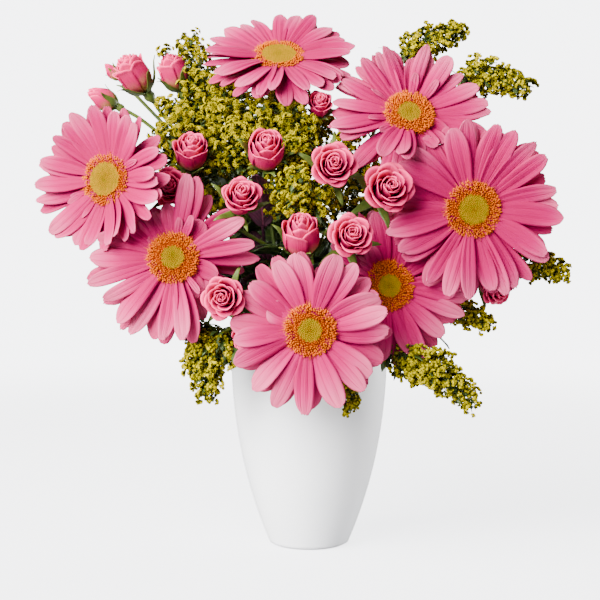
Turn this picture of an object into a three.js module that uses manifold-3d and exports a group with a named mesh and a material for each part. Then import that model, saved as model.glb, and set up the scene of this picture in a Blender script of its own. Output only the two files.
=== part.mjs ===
// Gerberas in a vase: seven large pink gerberas, spray roses, goldenrod plumes and a few dark leaves,
// standing in water in a plain white tapered vase. Millimetres, +Z up, -Y towards the viewer.
// The origin is the middle of the vase's flat foot.
//
// Every stem stands in its own plain hole in the water, spreads over the rim and carries its flower.
// A petal, leaf or floret branch that would touch a neighbour is bent or shortened until it is clear.
import * as THREE from "three";
import { mergeVertices } from "three/addons/utils/BufferGeometryUtils.js";
import Module from "manifold-3d";

const wasm = await Module();
wasm.setup();

// ---------------------------------------------------------------- driving dimensions, in millimetres

const VASE = {
  height: 150,
  footRadius: 26,
  footRise: 1.5, // the small round edge under the wall
  baseRadius: 28,
  rimRadius: 56,
  wall: 4,
  floor: 7,
  swell: 2.3, // how soon the wall turns upright
  sides: 24,
};

const WATER = { top: 112, sides: 10 };

const GERBERA = {
  hubRadius: 10.8,
  rootRadius: 8.2, // where petals start, inside the hub
  calyxRadius: 12.6,
  discRadius: 16.8,
  petalWidth: 17,
  petalThickness: 0.8,
  petalsPerLayer: 10,
  stemRadius: 2.7,
  calyxDepth: 15,
};

// The layers of a gerbera's petals, the back one first: the height of their roots in the hub, how far
// round they are from the other layer, in petals, and their lift past the flower's cup. bendWay is the
// way that they bend clear. stations and shares are a petal's outline, as in blade below.
const PETAL_LAYERS = [
  { rootHeight: -1.9, phase: 0, lift: -4, bendWay: -1, stations: [0, 0.6, 1], shares: [0.24, 1, 0.5] },
  {
    rootHeight: -0.3, phase: 0.5, lift: 3, bendWay: 1,
    stations: [0, 0.45, 0.82, 1], shares: [0.24, 0.84, 1, 0.4],
  },
];

// How much one petal differs from the next: degrees round, share of length and width, degrees of droop.
const PETAL_WANDER = { round: 4, length: 0.1, width: 0.14, droop: 6, roll: 5 };

const ROSE = { radius: 16.5, height: 29, stemRadius: 2.1, twigRadius: 1.4, twigRise: 26, hipDepth: 7 };

const GOLDENROD = { stemRadius: 1.6, twigRadius: 1.1, floretRadius: 5 };

const LEAF = {
  width: 24,
  length: 52,
  thickness: 0.8,
  stemRadius: 1.6,
  stations: [0, 0.3, 0.68, 1],
  shares: [0.07, 0.9, 0.74, 0.06],
  lift: 18,
  droop: 50,
};

// How much fatter a piece is tried than it is made, and the gap round a stem in the water.
const CLEARANCE = 0.4;

// Where stems stand and where they pass the rim: the distance from the vase's axis, there and there.
const CENTRE = { foot: 0, rim: 3 };
const INNER = { foot: 11.5, rim: 22 };
const MIDDLE = { foot: 17.5, rim: 33 };
const OUTER = { foot: 23.5, rim: 43 };
const FOOT_HEIGHT = 12;
const RIM_PASS_HEIGHT = 153;
const STRAIGHT_SHARE = 0.86; // how much of a stem is straight, from its foot to the rim

// ---------------------------------------------------------------- what stands in the vase
// ring and angle place the stem in the vase, the angle in degrees round from +X.
// at: the middle of a flower's face. turn: degrees to the right of straight ahead. tilt: degrees up.

// reach: from the middle to a petal's tip. cup: how far petals rise. droop: how far their tips fall.
// neck: how far behind the face, and how far below it, the stem bends.
const GERBERAS = [
  {
    name: "gerbera_1",
    at: [-135, -62, 259], turn: -24, tilt: 8,
    reach: 51, cup: 8, droop: -18,
    ring: OUTER, angle: 203, neck: [44, 16], seed: 11,
  },
  {
    name: "gerbera_2",
    at: [-90, -77, 207], turn: -2, tilt: 12,
    reach: 57, cup: 8, droop: 13,
    ring: OUTER, angle: 229, neck: [44, 14], seed: 23,
  },
  {
    name: "gerbera_3",
    at: [0, -95, 161], turn: 0, tilt: 4,
    reach: 54, cup: 7, droop: 10,
    ring: OUTER, angle: 270, neck: [28, -2], seed: 37,
  },
  {
    name: "gerbera_4",
    at: [53, -58, 188], turn: 10, tilt: 2,
    reach: 54, cup: 9, droop: 12,
    ring: OUTER, angle: 300, neck: [40, 14], seed: 41,
  },
  {
    name: "gerbera_5",
    at: [109, -59, 239], turn: 9, tilt: 2,
    reach: 61, cup: 7, droop: 10,
    ring: OUTER, angle: 328, neck: [44, 18], seed: 53,
  },
  {
    name: "gerbera_6",
    at: [67, -48, 303], turn: 5, tilt: 31,
    reach: 55, cup: 9, droop: 12,
    ring: INNER, angle: 335, neck: [40, 20], seed: 67,
  },
  {
    name: "gerbera_7",
    at: [-21, -22, 344], turn: 2, tilt: 52,
    reach: 53, cup: 10, droop: 16,
    ring: CENTRE, angle: 200, neck: [36, 22], seed: 79,
  },
];

// A spray's main stem ends at its fork, and a twig runs from there to each head.
// size is the head's share of a full rose. open is how far it has opened, and 0 is a tight bud.
const ROSE_SPRAYS = [
  {
    name: "rose_spray_1", ring: INNER, angle: 178, fork: [-60, 14, 256],
    heads: [
      { at: [-125, -10, 337], turn: -62, tilt: 52, size: 0.9, open: 0.35 },
      { at: [-148, -4, 319], turn: -82, tilt: 28, size: 0.66, open: 0.1 },
      { at: [-96, -14, 338], turn: -60, tilt: 66, size: 0.8, open: 0.3 },
      { at: [-143, 20, 340], turn: -95, tilt: 45, size: 0.42, open: 0 },
    ],
  },
  {
    name: "rose_spray_2", ring: INNER, angle: 206, fork: [-52, -24, 220],
    heads: [
      { at: [-93, -57, 254], turn: -8, tilt: 12, size: 0.88, open: 0.8 },
      { at: [-80, -52, 280], turn: 6, tilt: 44, size: 0.84, open: 0.6 },
    ],
  },
  {
    name: "rose_spray_3", ring: INNER, angle: 236, fork: [-24, -36, 214],
    heads: [
      { at: [-29, -78, 280], turn: 2, tilt: 30, size: 0.96, open: 0.55 },
      { at: [-45, -82, 248], turn: 8, tilt: 28, size: 0.9, open: 0.7 },
    ],
  },
  {
    name: "rose_spray_4", ring: INNER, angle: 305, fork: [22, -34, 218],
    heads: [
      { at: [15, -84, 268], turn: 4, tilt: 12, size: 1.02, open: 1 },
      { at: [51, -79, 253], turn: 12, tilt: 14, size: 1.1, open: 1 },
      { at: [7, -48, 311], turn: 4, tilt: 30, size: 0.6, open: 0.4 },
    ],
  },
  {
    name: "rose_spray_5", ring: INNER, angle: 270, fork: [2, -38, 188],
    heads: [
      { at: [-6, -84, 225], turn: -4, tilt: 46, size: 1, open: 0.5 },
      { at: [27, -87, 222], turn: 6, tilt: 18, size: 0.96, open: 0.9 },
    ],
  },
  {
    name: "rose_spray_6", ring: OUTER, angle: 252, fork: [-28, -50, 164],
    heads: [
      { at: [-56, -93, 182], turn: -8, tilt: 4, size: 0.94, open: 0.8 },
      { at: [-42, -90, 156], turn: -26, tilt: -24, size: 0.66, open: 0.3 },
    ],
  },
  {
    name: "rose_spray_7", ring: OUTER, angle: 314, fork: [70, -36, 174],
    heads: [
      { at: [128, -42, 186], turn: 28, tilt: -18, size: 0.86, open: 0.6 },
    ],
  },
];

// A goldenrod's stem runs through via and bears one or more plumes, each from one point to another.
// spread: the length of a plume's lowest floret branches.
const GOLDENRODS = [
  {
    name: "goldenrod_1", ring: INNER, angle: 150, via: [-36, 2, 226],
    plumes: [
      { from: [-64, -14, 288], to: [-86, -16, 358], spread: 26, branches: 6 },
      { from: [-54, -32, 262], to: [-92, -40, 304], spread: 22, branches: 4 },
    ],
  },
  {
    name: "goldenrod_2", ring: INNER, angle: 110, via: [-28, 4, 230],
    plumes: [
      { from: [-42, -22, 276], to: [-50, -30, 334], spread: 24, branches: 6 },
      { from: [-22, -36, 268], to: [-8, -54, 316], spread: 20, branches: 4 },
    ],
  },
  {
    name: "goldenrod_3", ring: MIDDLE, angle: 287, via: [4, -44, 206],
    plumes: [{ from: [0, -58, 234], to: [-8, -88, 262], spread: 22, branches: 6 }],
  },
  {
    name: "goldenrod_4", ring: INNER, angle: 12, via: [34, 12, 256],
    plumes: [{ from: [64, 6, 346], to: [112, 16, 367], spread: 17, branches: 4 }],
  },
  {
    name: "goldenrod_5", ring: OUTER, angle: 8, via: [70, 10, 250],
    plumes: [{ from: [106, 4, 334], to: [157, -4, 323], spread: 18, branches: 4 }],
  },
  {
    name: "goldenrod_6", ring: OUTER, angle: 343, via: [84, -10, 180],
    plumes: [
      { from: [138, -20, 202], to: [180, -26, 193], spread: 16, branches: 4 },
      { from: [98, -18, 170], to: [126, -34, 157], spread: 13, branches: 3 },
    ],
  },
  {
    name: "goldenrod_7", ring: OUTER, angle: 285, via: [30, -60, 154],
    plumes: [
      { from: [58, -58, 144], to: [114, -60, 106], spread: 22, branches: 4 },
      { from: [26, -68, 134], to: [27, -78, 104], spread: 12, branches: 3 },
    ],
  },
  {
    name: "goldenrod_8", ring: OUTER, angle: 240, via: [-38, -54, 164],
    plumes: [{ from: [-62, -66, 158], to: [-70, -78, 112], spread: 20, branches: 4 }],
  },
  {
    name: "goldenrod_9", ring: OUTER, angle: 132, via: [-48, 44, 210],
    plumes: [{ from: [-62, 52, 246], to: [-90, 60, 310], spread: 24, branches: 4 }],
  },
  {
    name: "goldenrod_10", ring: OUTER, angle: 52, via: [46, 46, 210],
    plumes: [{ from: [58, 54, 246], to: [84, 66, 304], spread: 24, branches: 4 }],
  },
  {
    name: "goldenrod_11", ring: OUTER, angle: 92, via: [-2, 58, 196],
    plumes: [{ from: [-4, 66, 220], to: [-14, 96, 262], spread: 22, branches: 4 }],
  },
];

// Dark leafy stems: leaves alternate up the stem from the vase's rim to its tip.
const LEAFY_STEMS = [
  {
    name: "leafy_stem_1", ring: OUTER, angle: 176, via: [-64, 0, 190], tip: [-104, -26, 198],
    leaves: 4, seed: 5,
  },
  {
    name: "leafy_stem_2", ring: MIDDLE, angle: 254, via: [-26, -28, 186], tip: [-32, -38, 228],
    leaves: 4, seed: 8,
  },
];

// ---------------------------------------------------------------- solids

const { degToRad } = THREE.MathUtils;
const vec = (x, y, z) => new THREE.Vector3(x, y, z);
const UP = vec(0, 0, 1);
const GOLDEN_ANGLE = 137.5;

/** A repeatable draw from 0 to 1: the k-th choice made for the piece with this seed. */
function draw(seed, k) {
  const s = Math.sin(seed * 12.9898 + k * 78.233) * 43758.5453;
  return s - Math.floor(s);
}

/** A closed three.js geometry as a solid that can be joined and cut. */
function solidOf(geometry) {
  const bare = geometry.index ? geometry.toNonIndexed() : geometry.clone();
  bare.deleteAttribute("normal");
  bare.deleteAttribute("uv");
  const merged = mergeVertices(bare, 1e-4);
  return new wasm.Manifold(
    new wasm.Mesh({
      numProp: 3,
      vertProperties: merged.attributes.position.array,
      triVerts: new Uint32Array(merged.index.array),
    }),
  );
}

/** A solid back as a three.js geometry. */
function geometryOf(solid) {
  const mesh = solid.getMesh();
  const geometry = new THREE.BufferGeometry();
  geometry.setAttribute("position", new THREE.BufferAttribute(mesh.vertProperties, 3));
  geometry.setIndex(new THREE.BufferAttribute(mesh.triVerts, 1));
  geometry.computeVertexNormals();
  return geometry;
}

/** A solid from points and the corners of its triangles. */
function solidFrom(points, corners) {
  const geometry = new THREE.BufferGeometry().setFromPoints(points);
  geometry.setIndex(corners);
  return solidOf(geometry);
}

/** A solid through a stack of rings of points, closed at each end by a fan, to its middle if not given. */
function loft(rings, startPoint, endPoint) {
  const sides = rings[0].length;
  const corners = [];
  for (let k = 0; k + 1 < rings.length; k++)
    for (let i = 0; i < sides; i++) {
      const here = k * sides + i;
      const next = k * sides + ((i + 1) % sides);
      corners.push(here, next, next + sides, here, next + sides, here + sides);
    }
  const middle = (ring) => ring.reduce((sum, p) => sum.add(p), vec(0, 0, 0)).divideScalar(sides);
  const points = [...rings.flat(), startPoint ?? middle(rings[0]), endPoint ?? middle(rings.at(-1))];
  const start = rings.length * sides;
  const last = start - sides;
  for (let i = 0; i < sides; i++) {
    const next = (i + 1) % sides;
    corners.push(start, next, i, start + 1, last + i, last + next);
  }
  return solidFrom(points, corners);
}

/** Rings about a frame's z axis. Each row is a radius and a height, as numbers or rules of the index. */
function rings(frame, sides, rows) {
  const value = (rule, i) => (typeof rule === "function" ? rule(i) : rule);
  return rows.map(([radius, height]) =>
    Array.from({ length: sides }, (_, i) => {
      const a = (2 * Math.PI * i) / sides;
      const r = value(radius, i);
      return vec(r * Math.cos(a), r * Math.sin(a), value(height, i)).applyMatrix4(frame);
    }),
  );
}

/** Rings square to a line through points, carried from one to the next without twisting. */
function ringsAlong(points, radius, sides) {
  const value = (k, i) => (typeof radius === "function" ? radius(k, i) : radius);
  const heading = (k) => {
    const before = points[Math.max(k - 1, 0)];
    const after = points[Math.min(k + 1, points.length - 1)];
    return after.clone().sub(before).normalize();
  };
  let along = heading(0);
  const across = vec(1, 0, 0).cross(along).normalize();
  return points.map((point, k) => {
    const next = heading(k);
    across.applyQuaternion(new THREE.Quaternion().setFromUnitVectors(along, next));
    along = next;
    return Array.from({ length: sides }, (_, i) => {
      const spoke = across.clone().applyAxisAngle(along, (2 * Math.PI * i) / sides);
      return point.clone().addScaledVector(spoke, value(k, i));
    });
  });
}

/** A rod with flat ends. */
const rod = (points, radius, sides) => loft(ringsAlong(points, radius, sides));

/** A spindle with pointed ends. */
function spindle(points, radius, sides) {
  const rings = ringsAlong(points, radius, sides).slice(1, -1);
  return loft(rings, points[0], points.at(-1));
}

/**
 * A thin blade that leaves start towards out and curves in the plane of out and up.
 * stations are the places along it where its outline is taken, and shares its width there.
 * It is split into triangles alike on both faces. grow makes it fatter all round, for trials.
 */
function blade({ start, out, up, length, width, stations, shares, lift, droop, roll, thickness }, grow) {
  const side = up.clone().cross(out);
  const point = start.clone();
  const top = [];
  const under = [];
  stations.forEach((s, k) => {
    const before = k ? stations[k - 1] : 0;
    const slope = degToRad(lift - (droop * (s + before)) / 2);
    const along = out.clone().multiplyScalar(Math.cos(slope)).addScaledVector(up, Math.sin(slope));
    point.addScaledVector(along, (s - before) * length);
    const edge = side.clone().applyAxisAngle(along, degToRad(roll));
    const face = along.cross(edge).normalize().multiplyScalar(thickness / 2 + grow);
    for (const way of [-1, 1]) {
      const corner = point.clone().addScaledVector(edge, way * ((width * shares[k]) / 2 + grow));
      top.push(corner.clone().add(face));
      under.push(corner.clone().sub(face));
    }
  });
  const n = top.length;
  const corners = [];
  for (let k = 0; k + 2 < n; k += 2) {
    const [r, l, farR, farL] = [k, k + 1, k + 2, k + 3];
    corners.push(r, farR, farL, r, farL, l);
    corners.push(n + r, n + farL, n + farR, n + r, n + l, n + farL);
    corners.push(r, n + farR, farR, r, n + r, n + farR);
    corners.push(l, farL, n + farL, l, n + farL, n + l);
  }
  corners.push(0, 1, n + 1, 0, n + 1, n);
  corners.push(n - 2, 2 * n - 2, 2 * n - 1, n - 2, 2 * n - 1, n - 1);
  return solidFrom([...top, ...under], corners);
}

/** The frame of a flower at a place: z out of its face, x level to its right. */
function facing({ at, turn, tilt }) {
  const [t, e] = [degToRad(turn), degToRad(tilt)];
  const z = vec(Math.sin(t) * Math.cos(e), -Math.cos(t) * Math.cos(e), Math.sin(e));
  const x = vec(Math.cos(t), Math.sin(t), 0);
  return new THREE.Matrix4().makeBasis(x, z.clone().cross(x), z).setPosition(...at);
}

const joined = (solids) => solids.reduce((sum, s) => sum.add(s));

// ---------------------------------------------------------------- keeping pieces apart

// Each finished solid with the node that it belongs to.
const standing = [];

function stand(owner, solid) {
  standing.push({ owner, solid, box: solid.boundingBox() });
  return solid;
}

/** True if a trial solid touches nothing that belongs to another node. */
function isClear(trial, owner) {
  const box = trial.boundingBox();
  const near = (other) => [0, 1, 2].every((k) => box.min[k] < other.max[k] && other.min[k] < box.max[k]);
  return standing.every((s) => s.owner === owner || !near(s.box) || trial.intersect(s.solid).isEmpty());
}

/** The first way of making a piece that lies clear, or nothing. make takes the way and the growth. */
function firstClear(owner, ways, make) {
  const way = ways.find((w) => isClear(make(w, CLEARANCE), owner));
  return way && make(way, 0);
}

// The ways tried for a blade: degrees added to its lift, and its share of its length.
const BENDS = [
  [0, 1], [5, 1], [10, 1], [-5, 1], [16, 1], [-10, 1], [22, 0.95], [-16, 0.95], [30, 0.9],
  [-24, 0.9], [38, 0.85], [-32, 0.85], [48, 0.8], [-42, 0.75], [60, 0.7], [20, 0.6], [0, 0.5],
];

// The ways tried for a stem or twig: how far its middle is pushed right, back and up.
const PUSHES = [0, 4, 8, 12, 18].flatMap((d) =>
  [0, 60, 120, 180, 240, 300].map((a) => vec(d * Math.cos(degToRad(a)), d * Math.sin(degToRad(a)), d / 4)),
);

// ---------------------------------------------------------------- vase and water

// Where the wall bends, as shares of the vase's height.
const PROFILE_LEVELS = [0.13, 0.3, 0.55];

/** The vase's outer radius at a height: a narrow foot that swells and turns upright. */
function vaseRadius(z) {
  const { height, baseRadius, rimRadius, swell } = VASE;
  return baseRadius + (rimRadius - baseRadius) * (1 - (1 - z / height) ** swell);
}

function vaseSolid() {
  const { height, footRadius, footRise, wall, floor, sides } = VASE;
  const levels = PROFILE_LEVELS.map((t) => height * t);
  const profile = [
    [0, 0],
    [footRadius, 0],
    [vaseRadius(footRise), footRise],
    ...levels.map((z) => [vaseRadius(z), z]),
    [vaseRadius(height), height - wall / 2],
    [vaseRadius(height) - wall / 2, height],
    [vaseRadius(height) - wall, height - wall / 2],
    ...levels.reverse().map((z) => [vaseRadius(z) - wall, z]),
    [vaseRadius(floor) - wall - 2, floor],
    [0, floor],
  ];
  const outline = profile.map(([r, z]) => new THREE.Vector2(r, z));
  return solidOf(new THREE.LatheGeometry(outline, sides).rotateX(Math.PI / 2));
}

/** The water, with a plain hole for each stem that stands in it. */
function waterSolid(stems) {
  const { floor, wall } = VASE;
  const margin = 2.4; // keeps the water's corners off the flats of the wall
  const inside = (z) => vaseRadius(z) - wall - margin;
  const levels = PROFILE_LEVELS.map((t) => VASE.height * t).filter((z) => z < 0.5 * WATER.top);
  const body = loft(
    rings(new THREE.Matrix4(), WATER.sides, [
      [inside(floor) - 1, floor + CLEARANCE],
      ...levels.map((z) => [inside(z), z]),
      [inside(WATER.top), WATER.top],
    ]),
  );
  return stems.reduce((water, { path, radius, sides }) => {
    const along = path[1].clone().sub(path[0]).normalize();
    const bottom = path[0].clone().addScaledVector(along, -CLEARANCE);
    return water.subtract(rod([bottom, path[1]], radius + CLEARANCE, sides));
  }, body);
}

// ---------------------------------------------------------------- stems

// Every stem in the water, for its hole.
const stemsInWater = [];

/** The points of a stem: straight from its foot to just under the rim, then curved on through later. */
function stemPath({ ring, angle }, later, steps) {
  const a = degToRad(angle);
  const at = (radius, z) => vec(radius * Math.cos(a), radius * Math.sin(a), z);
  const foot = at(ring.foot, FOOT_HEIGHT);
  const rim = at(ring.rim, RIM_PASS_HEIGHT);
  const below = foot.clone().lerp(rim, STRAIGHT_SHARE);
  return [foot, ...new THREE.CatmullRomCurve3([below, rim, ...later]).getSpacedPoints(steps)];
}

/** A stem from the water through later points, the first of them pushed aside until it is clear. */
function clearStem(owner, plant, later, radius, sides, steps) {
  const pathWith = (push) => stemPath(plant, [later[0].clone().add(push), ...later.slice(1)], steps);
  const push = PUSHES.find((p) => isClear(rod(pathWith(p), radius + CLEARANCE, sides), owner)) ?? PUSHES[0];
  const path = pathWith(push);
  stemsInWater.push({ path, radius, sides });
  return rod(path, radius, sides);
}

/** A twig through points, its middle bowed aside until it is clear. */
function clearTwig(owner, [start, middle, end], radius, sides, steps) {
  const pathWith = (push) =>
    new THREE.CatmullRomCurve3([start, middle.clone().add(push), end]).getSpacedPoints(steps);
  const push = PUSHES.find((p) => isClear(rod(pathWith(p), radius + CLEARANCE, sides), owner)) ?? PUSHES[0];
  return rod(pathWith(push), radius, sides);
}

/** A gerbera's leafless stem and the green cup of bracts under its face. */
function gerberaStem(flower, owner) {
  const frame = facing(flower);
  const { calyxDepth, calyxRadius, stemRadius } = GERBERA;
  const back = (depth, drop) => vec(0, 0, -depth).applyMatrix4(frame).addScaledVector(UP, -drop);
  const later = [back(...flower.neck), back(calyxDepth + 6, 0), back(calyxDepth - 3, 0)];
  const bract = (small, large) => (i) => (i % 2 ? small : large);
  const cup = loft(
    rings(frame, 8, [
      [stemRadius + 0.5, -calyxDepth],
      [bract(7, 8.4), -calyxDepth + 4],
      [bract(calyxRadius - 2, calyxRadius), -6],
      [calyxRadius - 1.8, -3],
    ]),
  );
  return cup.add(clearStem(owner, flower, later, stemRadius, 5, 5));
}

// ---------------------------------------------------------------- gerbera faces

/** Both layers of a gerbera's petals, sunk into the hub that carries them. */
function gerberaPetals(flower, owner) {
  const frame = facing(flower);
  const { hubRadius, rootRadius, petalsPerLayer, petalWidth, petalThickness } = GERBERA;
  const up = vec(0, 0, 1).transformDirection(frame);
  const hub = loft(rings(frame, petalsPerLayer, [[hubRadius, -2.5], [hubRadius, 0.8]]));
  const parts = [hub];
  for (let k = 0; k < 2 * petalsPerLayer; k++) {
    const layer = PETAL_LAYERS[Math.floor(k / petalsPerLayer)];
    // Swings evenly about 0, by up to half of this share.
    const wander = (share, choice) => share * (draw(flower.seed, k + 50 * choice) - 0.5);
    const angle = degToRad((360 / petalsPerLayer) * (k + layer.phase) + wander(PETAL_WANDER.round, 0));
    const root = vec(rootRadius * Math.cos(angle), rootRadius * Math.sin(angle), layer.rootHeight);
    const length = (flower.reach - rootRadius) * (0.99 + wander(PETAL_WANDER.length, 1));
    const petal = firstClear(owner, BENDS, ([bend, share], grow) =>
      blade(
        {
          start: root.clone().applyMatrix4(frame),
          out: vec(Math.cos(angle), Math.sin(angle), 0).transformDirection(frame),
          up,
          length: length * share,
          width: petalWidth * (1 + wander(PETAL_WANDER.width, 2)),
          stations: layer.stations,
          shares: layer.shares,
          lift: flower.cup + layer.lift + layer.bendWay * bend,
          droop: flower.droop + wander(PETAL_WANDER.droop, 3),
          roll: PETAL_WANDER.roll,
          thickness: petalThickness,
        },
        grow,
      ),
    );
    if (petal) parts.push(petal);
  }
  return joined(parts);
}

/** The raised disc of tiny florets: a fringe, a ring of stamens and a domed eye. */
function gerberaDisc(flower) {
  const { discRadius: r } = GERBERA;
  const tuft = (low, high) => (i) => (i % 2 ? low : high);
  return loft(
    rings(facing(flower), 12, [
      [r * 0.62, 1.4],
      [tuft(r * 0.93, r), 3],
      [r * 0.8, tuft(6, 4.8)],
      [r * 0.5, tuft(3.8, 4.8)],
    ]),
    undefined,
    vec(0, 0, 5.2).applyMatrix4(facing(flower)),
  );
}

// ---------------------------------------------------------------- spray roses

/** The frame of a rose head, whose origin is the foot of its petals. */
function headFrame(head) {
  return facing(head).multiply(new THREE.Matrix4().makeTranslation(0, 0, -ROSE.height * head.size * 0.7));
}

/** A rose head: rings of lobed petal rims, each one inside and above the last. */
function roseHead(head) {
  const { size, open } = head;
  const r = ROSE.radius * size * (0.72 + 0.28 * open);
  const h = ROSE.height * size;
  const lobes = (radius, swing, shift) => (i) => radius * (1 + swing * ((i + shift) % 2 ? -1 : 1));
  const sides = size < 1 ? 8 : 10;
  return loft(
    rings(headFrame(head), sides, [
      [r * 0.3, 0],
      [r * 0.92, h * 0.36],
      [lobes(r * (0.86 + 0.18 * open), 0.07, 0), lobes(h * 0.86, 0.03, 0)],
      [r * (0.68 + 0.08 * open), h * 0.8],
      [lobes(r * 0.58, 0.1, 1), lobes(h * 0.97, 0.03, 1)],
      [r * 0.38, h * 0.86],
      [lobes(r * 0.24, 0.2, 0), h],
    ]),
  );
}

/** The hip under a rose and its five pointed sepals. */
function roseHip(head) {
  const s = head.size;
  const frame = headFrame(head);
  const sepals = rings(frame, 10, [
    [4.7 * s, -4.4 * s],
    [(i) => (i % 2 ? 4.6 : 13) * s, (i) => (i % 2 ? -1.8 : 2.4) * s],
    [3.6 * s, -0.5 * s - 0.2],
  ]);
  return loft(sepals, vec(0, 0, -10 * s).applyMatrix4(frame));
}

/** The green body of a spray: its stem, a twig to each head, and the heads' hips and sepals. */
function roseStem(spray, owner) {
  const fork = vec(...spray.fork);
  const path = stemPath(spray, [fork], 4);
  const along = path.at(-1).clone().sub(path.at(-2)).normalize();
  const parts = [clearStem(owner, spray, [fork], ROSE.stemRadius, 4, 4)];
  for (const head of spray.heads) {
    const frame = headFrame(head);
    const behind = (depth) => vec(0, 0, -depth * head.size).applyMatrix4(frame);
    const points = [fork.clone().addScaledVector(along, -3), behind(ROSE.twigRise), behind(ROSE.hipDepth)];
    parts.push(clearTwig(owner, points, ROSE.twigRadius, 4, 3), roseHip(head));
  }
  return joined(parts);
}

// ---------------------------------------------------------------- goldenrod

/** A knobbly spindle of florets through points. */
function florets(points, seed, share, grow) {
  const radius = (k, i) => GOLDENROD.floretRadius * share * (0.6 + 0.5 * draw(seed, 7 * k + i)) + grow;
  return spindle(points, radius, 4);
}

// The ways tried for a floret branch: its share of its length, and degrees round the plume's axis.
const BRANCH_WAYS = [1, 0.75, 0.5].flatMap((share) => [0, 25, -25, 50, -50].map((turn) => ({ share, turn })));

/** A plume: its floret branches wind round a drooping axis, shorter towards its tip. */
function plume({ from, to, spread, branches }, owner, seed) {
  const lead = vec(...to).sub(vec(...from));
  const axisWith = (push) => {
    const foot = vec(...from).add(push);
    const crown = foot.clone().addScaledVector(lead, 0.5).addScaledVector(UP, 0.12 * lead.length());
    return new THREE.QuadraticBezierCurve3(foot, crown, foot.clone().add(lead));
  };
  const core = (push, grow) => florets(axisWith(push).getPoints(4), seed, 0.8, grow);
  const push = PUSHES.find((p) => isClear(core(p, CLEARANCE), owner)) ?? PUSHES[0];
  const axis = axisWith(push);
  const parts = [core(push, 0)];
  for (let k = 0; k < branches; k++) {
    const t = 0.04 + (0.76 * k) / branches;
    const root = axis.getPoint(t);
    const along = axis.getTangent(t);
    const length = spread * (1 - 0.6 * t) * (0.85 + 0.3 * draw(seed, 200 + k));
    const branch = firstClear(owner, BRANCH_WAYS, ({ share, turn }, grow) => {
      const angle = degToRad(k * GOLDEN_ANGLE + turn);
      const out = along.clone().cross(UP).normalize().applyAxisAngle(along, angle);
      const aim = (a, b) =>
        root.clone().addScaledVector(along, a * length * share).addScaledVector(out, b * length * share);
      return florets([root, aim(0.12, 0.34), aim(0.34, 0.66), aim(0.62, 0.9)], seed + k, share, grow);
    });
    if (branch) parts.push(branch);
  }
  return { foot: axis.getPoint(0.08), solid: joined(parts) };
}

/** A goldenrod: its stem, up to its first plume, and a twig from there to each other one. */
function goldenrod(plant, owner, seed) {
  const via = vec(...plant.via);
  const plumes = plant.plumes.map((p, i) => plume(p, owner, seed + 100 * i));
  const stem = clearStem(owner, plant, [via, plumes[0].foot], GOLDENROD.stemRadius, 4, 4);
  const fork = stemsInWater.at(-1).path[3];
  const twigs = plumes.slice(1).map(({ foot }) =>
    clearTwig(owner, [fork, fork.clone().lerp(foot, 0.5), foot], GOLDENROD.twigRadius, 4, 2),
  );
  return joined([stem, ...twigs, ...plumes.map((p) => p.solid)]);
}

// ---------------------------------------------------------------- leafy stems

/** A stem with dark, pointed leaves set alternately along it. */
function leafyStem(plant, owner) {
  const via = vec(...plant.via);
  const tip = vec(...plant.tip);
  const parts = [clearStem(owner, plant, [via, tip], LEAF.stemRadius, 4, 5)];
  const path = stemsInWater.at(-1).path;
  const line = new THREE.CatmullRomCurve3(path.slice(2));
  for (let k = 0; k < plant.leaves; k++) {
    const t = 0.3 + (0.7 * k) / (plant.leaves - 1);
    const start = line.getPointAt(Math.min(t, 0.98));
    const along = line.getTangentAt(Math.min(t, 0.98));
    const sideways = along.clone().cross(UP).normalize();
    const end = k === plant.leaves - 1;
    const aside = sideways.multiplyScalar(k % 2 ? 1 : -1).addScaledVector(along, 0.7).normalize();
    const out = end ? along.clone() : aside;
    const up = along.clone().cross(out).cross(out).normalize();
    if (end) up.copy(UP).cross(out).cross(out).negate().normalize();
    if (up.z < 0) up.negate();
    const size = 0.8 + 0.3 * draw(plant.seed, k);
    const leaf = firstClear(owner, BENDS, ([bend, share], grow) =>
      blade(
        {
          start,
          out,
          up,
          length: LEAF.length * size * share,
          width: LEAF.width * size * share,
          stations: LEAF.stations,
          shares: LEAF.shares,
          lift: LEAF.lift + bend,
          droop: LEAF.droop,
          roll: 0,
          thickness: LEAF.thickness,
        },
        grow,
      ),
    );
    if (leaf) parts.push(leaf);
  }
  return joined(parts);
}

// ---------------------------------------------------------------- assembly

const finish = (color, roughness) =>
  new THREE.MeshStandardMaterial({ color, roughness, metalness: 0 });
const MATERIALS = {
  glaze: finish(0xf4f4f6, 0.35),
  water: finish(0xdfe9e6, 0.1),
  petal: finish(0xf08ab4, 0.6),
  disc: finish(0xe9a12f, 0.8),
  stem: finish(0x6f9440, 0.6),
  rose: finish(0xe06a8e, 0.6),
  goldenrod: finish(0xc9b81e, 0.8),
  leaf: finish(0x5a2438, 0.6),
};

const group = new THREE.Group();

/** Stands a solid in the arrangement and adds its mesh, in a group placed at its flower's frame. */
function add(name, solid, material, frame = new THREE.Matrix4()) {
  stand(name, solid);
  const holder = new THREE.Group();
  frame.decompose(holder.position, holder.quaternion, holder.scale);
  const mesh = new THREE.Mesh(geometryOf(solid).applyMatrix4(frame.clone().invert()), MATERIALS[material]);
  mesh.name = name;
  group.add(holder.add(mesh));
}

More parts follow.
